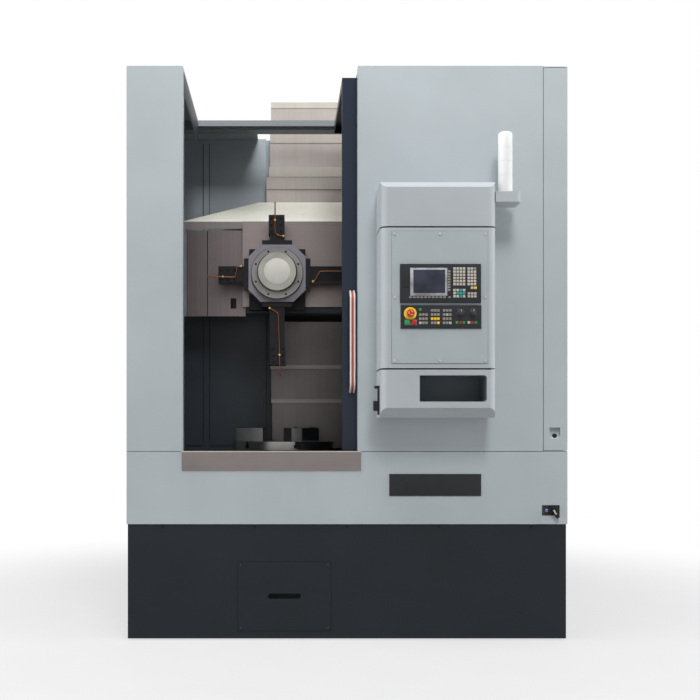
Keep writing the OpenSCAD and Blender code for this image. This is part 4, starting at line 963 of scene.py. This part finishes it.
def cover_lips():
    """Lips along the tops of the way covers, hems along their feet and the saddle's black wiper, which also
    paints the shadow under the saddle.
    """
    for number, rise, finish in ((2, 60, "lip"), (3, 66, "bright")):
        low, high = limits(f"upper_cover_{number}")
        add_lip(f"lip_upper_{number}", (low.x, high.x), low.y, high.z, rise, 4.5, finish, f"upper_{number}")
    saddle_y = limits("upper_cover_3")[0].y
    low, high = limits("lower_cover_2")
    add_hem("lip_lower_2", (low.x, high.x), low.y, low.z, "lower_2")
    wide = (low.x - COVER_STEP, high.x + COVER_STEP)
    low, high = limits("fixed_way_covers")
    # The fold is drawn in the lighter steel, partly a painted highlight along the column cover's top.
    add_lip("top_cover_fold", (low.x, high.x), low.y, high.z, 40, 3.5, "bright", "enclosure")
    low, high = limits("saddle_way_covers")
    add_lip("lip_saddle_cover", (low.x, high.x), low.y, high.z, 80, 8, "lip", "saddle")
    add_hem("lip_lower_1", wide, saddle_y, low.z, "saddle")
    # Black rubber wiper under the saddle, also a painted shadow below the saddle.
    bm = bmesh.new()
    add_prism(bm, wide, [(saddle_y - proud, z) for proud, z in WIPER])
    piece("saddle_wiper_and_shade", bm, ["rubber"], "saddle", smooth=False)


COVER_PORT = ((-688, 1923), (-650, 1990))


def cross_cover_port():
    """Small dark service port on the left cross cover, and the covers' edges."""
    y = limits("cross_covers_outer")[0].y
    (x0, z0), (x1, z1) = COVER_PORT
    border = 6
    bm = bmesh.new()
    add_box(bm, (x0, y - 2, z0), (x1, y, z1), 1.5, 0)
    add_box(bm, (x0 + border, y - 3.2, z0 + border), (x1 - border, y - 1.5, z1 - border), 0.8, 1)
    piece("cover_port", bm, ["black", "oxide"], "slide")

    for layer, body in (("outer", "slide"), ("middle", "slide_mid")):
        low, high = limits(f"cross_covers_{layer}")
        bm = bmesh.new()
        for x, side in ((low.x, 1), (high.x, -1)):
            fold = sorted((x, x + side * 9))
            seal = sorted((x, x - side * 3))
            if layer == "outer":
                add_box(bm, (fold[0], low.y - 1.4, low.z), (fold[1], low.y, high.z), 0.5, 0)
            add_box(bm, (seal[0], low.y + 0.2, low.z + 2), (seal[1], low.y + 2.4, high.z - 2), 0.5, 1)
        piece(f"{layer}_cover_edges", bm, ["hem", "rubber"], body)


JAW_TURN = -74
JAW_SCREWS = (258, 284)
JAW_NUT = (240, 296)


def chuck_fittings():
    """Cap screws of the jaws, and their black nuts in the slots of the chuck, which also paint the shade in
    the slots.
    """
    for k in range(3):
        angle = math.radians(JAW_TURN + 120 * k)
        top = limits(f"chuck_jaw_{k + 1}")[1].z
        bm = bmesh.new()
        for r in JAW_SCREWS:
            x, y = SPINDLE.x + r * math.cos(angle), SPINDLE.y + r * math.sin(angle)
            add_screw(bm, (x, y, top), (0, 0, 1), 9)
        # Black nuts in the slots: real T-nuts, also painted shade in the slots.
        for half, down in ((14.4, (103, 84)), (22.4, (122, 104))):
            add_radial_block(bm, SPINDLE, angle, JAW_NUT, half, [top - drop for drop in down])
        piece(f"jaw_nuts_and_slot_shade_{k + 1}", bm, ["oxide"], f"jaw_{k + 1}")


SIDE_SEAM_Y = 1130
PULL_Z = 1880
PULL_FROM_EDGE = 95
GLAND_AT = (900, 760)


def side_fittings():
    """Pull, seal and rest of the side door, and the screws and the seam of the sides."""
    low, high = limits("side_door")
    x, y, z = high.x, low.y + PULL_FROM_EDGE, PULL_Z
    bm = bmesh.new()
    add_box(bm, (x - 0.5, y - 32, z - 80), (x + 4, y + 32, z + 80), 2, 0)
    add_box(bm, (x + 3, y - 24, z - 70), (x + 5, y - 10, z + 70), 1, 1)
    add_box(bm, (x + 3.5, y - 6, z - 66), (x + 12, y + 8, z + 66), 3, 0)
    for dz in (-72, 72):
        add_screw(bm, (x + 4, y + 22, z + dz), (1, 0, 0), 5, 1)
    piece("side_pull", bm, ["black", "dull"], "side_door")

    bm = bmesh.new()
    add_box(bm, (low.x - 3, 1.2, low.z), (low.x - 0.8, 9, high.z), 0.4)
    piece("side_door_seal", bm, ["rail"], "enclosure")

    sill = limits("right_front_panel")[0].z
    bm = bmesh.new()
    add_box(bm, (low.x, 2, sill - 3), (high.x - 2, 12, sill + 2), 0.4)
    add_box(bm, (high.x - 12, 12, sill - 3), (high.x - 2, high.y - 60, sill + 2), 0.4)
    piece("side_door_rest", bm, ["rail"], "enclosure")

    left_low, left_high = limits("left_side_panel")
    right_x = limits("right_side_panel")[1].x
    back_y = limits("rear_panel")[0].y - 40
    columns = [(left_low.x, y, -1) for y in (40, SIDE_SEAM_Y - 30, SIDE_SEAM_Y + 30, back_y)]
    columns += [(right_x, y, 1) for y in (high.y + 75, back_y)]
    bm = bmesh.new()
    for x, y, out in columns:
        for rise in PANEL_SCREWS:
            add_screw(bm, (x, y, left_low.z + rise), (out, 0, 0))
    piece("side_screws", bm, ["dull"], "enclosure")
    bm = bmesh.new()
    add_box(bm, (left_low.x - 0.6, SIDE_SEAM_Y - 1.5, left_low.z),
            (left_low.x, SIDE_SEAM_Y + 1.5, left_high.z), 0.2)
    piece("side_seam", bm, ["rail"], "enclosure")


def rear_fittings():
    """Service cover with two handles, and the supply gland."""
    y = limits("rear_panel")[1].y
    (x0, z0), (x1, z1) = SERVICE_COVER
    sheet, half, grip = 4, 8, 60
    centre_z = (z0 + z1) / 2 + 10
    bm = bmesh.new()
    add_box(bm, (x0, y, z0), (x1, y + sheet, z1), 2, 0)
    for z in (z0 + 40, z0 + 370, z0 + 700, z0 + 1030, z1 - 40):
        for x in (x0 + 25, x1 - 25):
            add_screw(bm, (x, y + sheet, z), REAR, 7, 1)
    for x in (x0 + 100, x1 - 100):
        for z in (centre_z - grip, centre_z + grip):
            add_box(bm, (x - half, y + sheet, z - half), (x + half, y + 22, z + half), 2, 1)
        add_box(bm, (x - half, y + 18, centre_z - grip - half),
                (x + half, y + 30, centre_z + grip + half), 4, 1)
    piece("service_cover", bm, ["panel", "screw"], "enclosure")

    bm = bmesh.new()
    add_lathe(bm, (GLAND_AT[0], y, GLAND_AT[1]), REAR,
              [(0, 0), (34, 0), (34, 8), (27, 9), (27, 24), (22, 28), (14, 30), (14, 12), (0, 12)], 12)
    piece("supply_gland", bm, ["black"], "enclosure")


skirt_and_cover()
front_trim()
main_switch()
door_grip()
door_trim()
signal_light()
display()
machine_keys()
push_buttons()
knobs()
pocket_shade_liner()
operator_screws()
turret_fittings()
cover_lips()
cross_cover_port()
chuck_fittings()
side_fittings()
rear_fittings()


# Floor, light and camera

def seen_rays(tree):
    """1 for what the camera, a reflection or a view through glass sees, 0 for the light on things."""
    rays = tree.nodes.new("ShaderNodeLightPath")
    seen = rays.outputs["Is Camera Ray"]
    for kind in ("Is Glossy Ray", "Is Transmission Ray"):
        seen = calculate(tree, "MAXIMUM", seen, rays.outputs[kind])
    return seen


FLOOR_GREY = (0.43, 0.43, 0.43)


def add_floor():
    """Pale floor that keeps the machine's shadow and fades to white away from it."""
    bm = bmesh.new()
    bmesh.ops.create_grid(bm, x_segments=1, y_segments=1, size=60)
    mesh = bpy.data.meshes.new("floor")
    bm.to_mesh(mesh)
    bm.free()
    material, tree, shader = new_material("floor_paint")
    vector = coordinates(tree)
    tree.links.new(shades(tree, noise(tree, vector, 3, 3), FLOOR_GREY, 1.0, 1.0465),
                   shader.inputs["Base Color"])
    shader.inputs["Roughness"].default_value = 0.7
    fade = soft_step(tree, distance(tree, vector), 1.8, 4.6, 0.62, 1.0)
    white = tree.nodes.new("ShaderNodeEmission")
    mix = tree.nodes.new("ShaderNodeMixShader")
    tree.links.new(calculate(tree, "MULTIPLY", fade, seen_rays(tree)), mix.inputs["Fac"])
    tree.links.new(shader.outputs["BSDF"], mix.inputs[1])
    tree.links.new(white.outputs["Emission"], mix.inputs[2])
    out = next(node for node in tree.nodes if node.type == "OUTPUT_MATERIAL")
    tree.links.new(mix.outputs["Shader"], out.inputs["Surface"])
    mesh.materials.append(material)
    floor = bpy.data.objects.new("floor", mesh)
    bpy.context.scene.collection.objects.link(floor)


def add_world(light):
    """Even sky light; what the camera and reflections see of it is white."""
    world = bpy.data.worlds.new("studio")
    bpy.context.scene.world = world
    world.use_nodes = True
    tree = world.node_tree
    background = tree.nodes["Background"]
    background.inputs["Color"].default_value = (1, 1, 1, 1)
    tree.links.new(to_range(tree, seen_rays(tree), light, 1.0), background.inputs["Strength"])


def add_lamp(name, at, target, size, power):
    """Large soft lamp aimed at a point."""
    data = bpy.data.lights.new(name, "AREA")
    data.shape = "RECTANGLE"
    data.size, data.size_y = size
    data.energy = power
    lamp = bpy.data.objects.new(name, data)
    lamp.location = at
    lamp.visible_glossy = False
    lamp.rotation_euler = (Vector(target) - Vector(at)).to_track_quat("-Z", "Y").to_euler()
    bpy.context.scene.collection.objects.link(lamp)


SKY_LIGHT = 0.26
CAMERA_AT = place(-340, -5300, 1145)
LENS = 50.5
SHIFT = (0.0943, 0.1114)


def add_camera():
    """Straight-on view from in front of the door, as the photo was taken."""
    data = bpy.data.cameras.new("camera")
    data.lens = LENS
    data.shift_x, data.shift_y = SHIFT
    camera = bpy.data.objects.new("camera", data)
    camera.location = CAMERA_AT
    camera.rotation_euler = (math.radians(90), 0, 0)
    bpy.context.scene.collection.objects.link(camera)
    bpy.context.scene.camera = camera


add_floor()
add_world(SKY_LIGHT)
add_lamp("key_lamp", (0.9, -7.6, 9.0), (0.0, -0.9, 1.5), (2.4, 2.4), 545)
add_lamp("fill_lamp", (6.0, -1.6, 2.1), (0.2, -1.0, 1.9), (1.6, 3.4), 205)
add_lamp("side_lamp", (-6.0, -1.6, 2.1), (0.0, -1.0, 1.9), (1.6, 3.4), 235)
add_lamp("top_lamp", (-0.4, -1.8, 6.8), (-0.4, 0.2, 2.2), (3.0, 2.0), 250)
add_camera()
bpy.context.scene.view_settings.view_transform = "Standard"
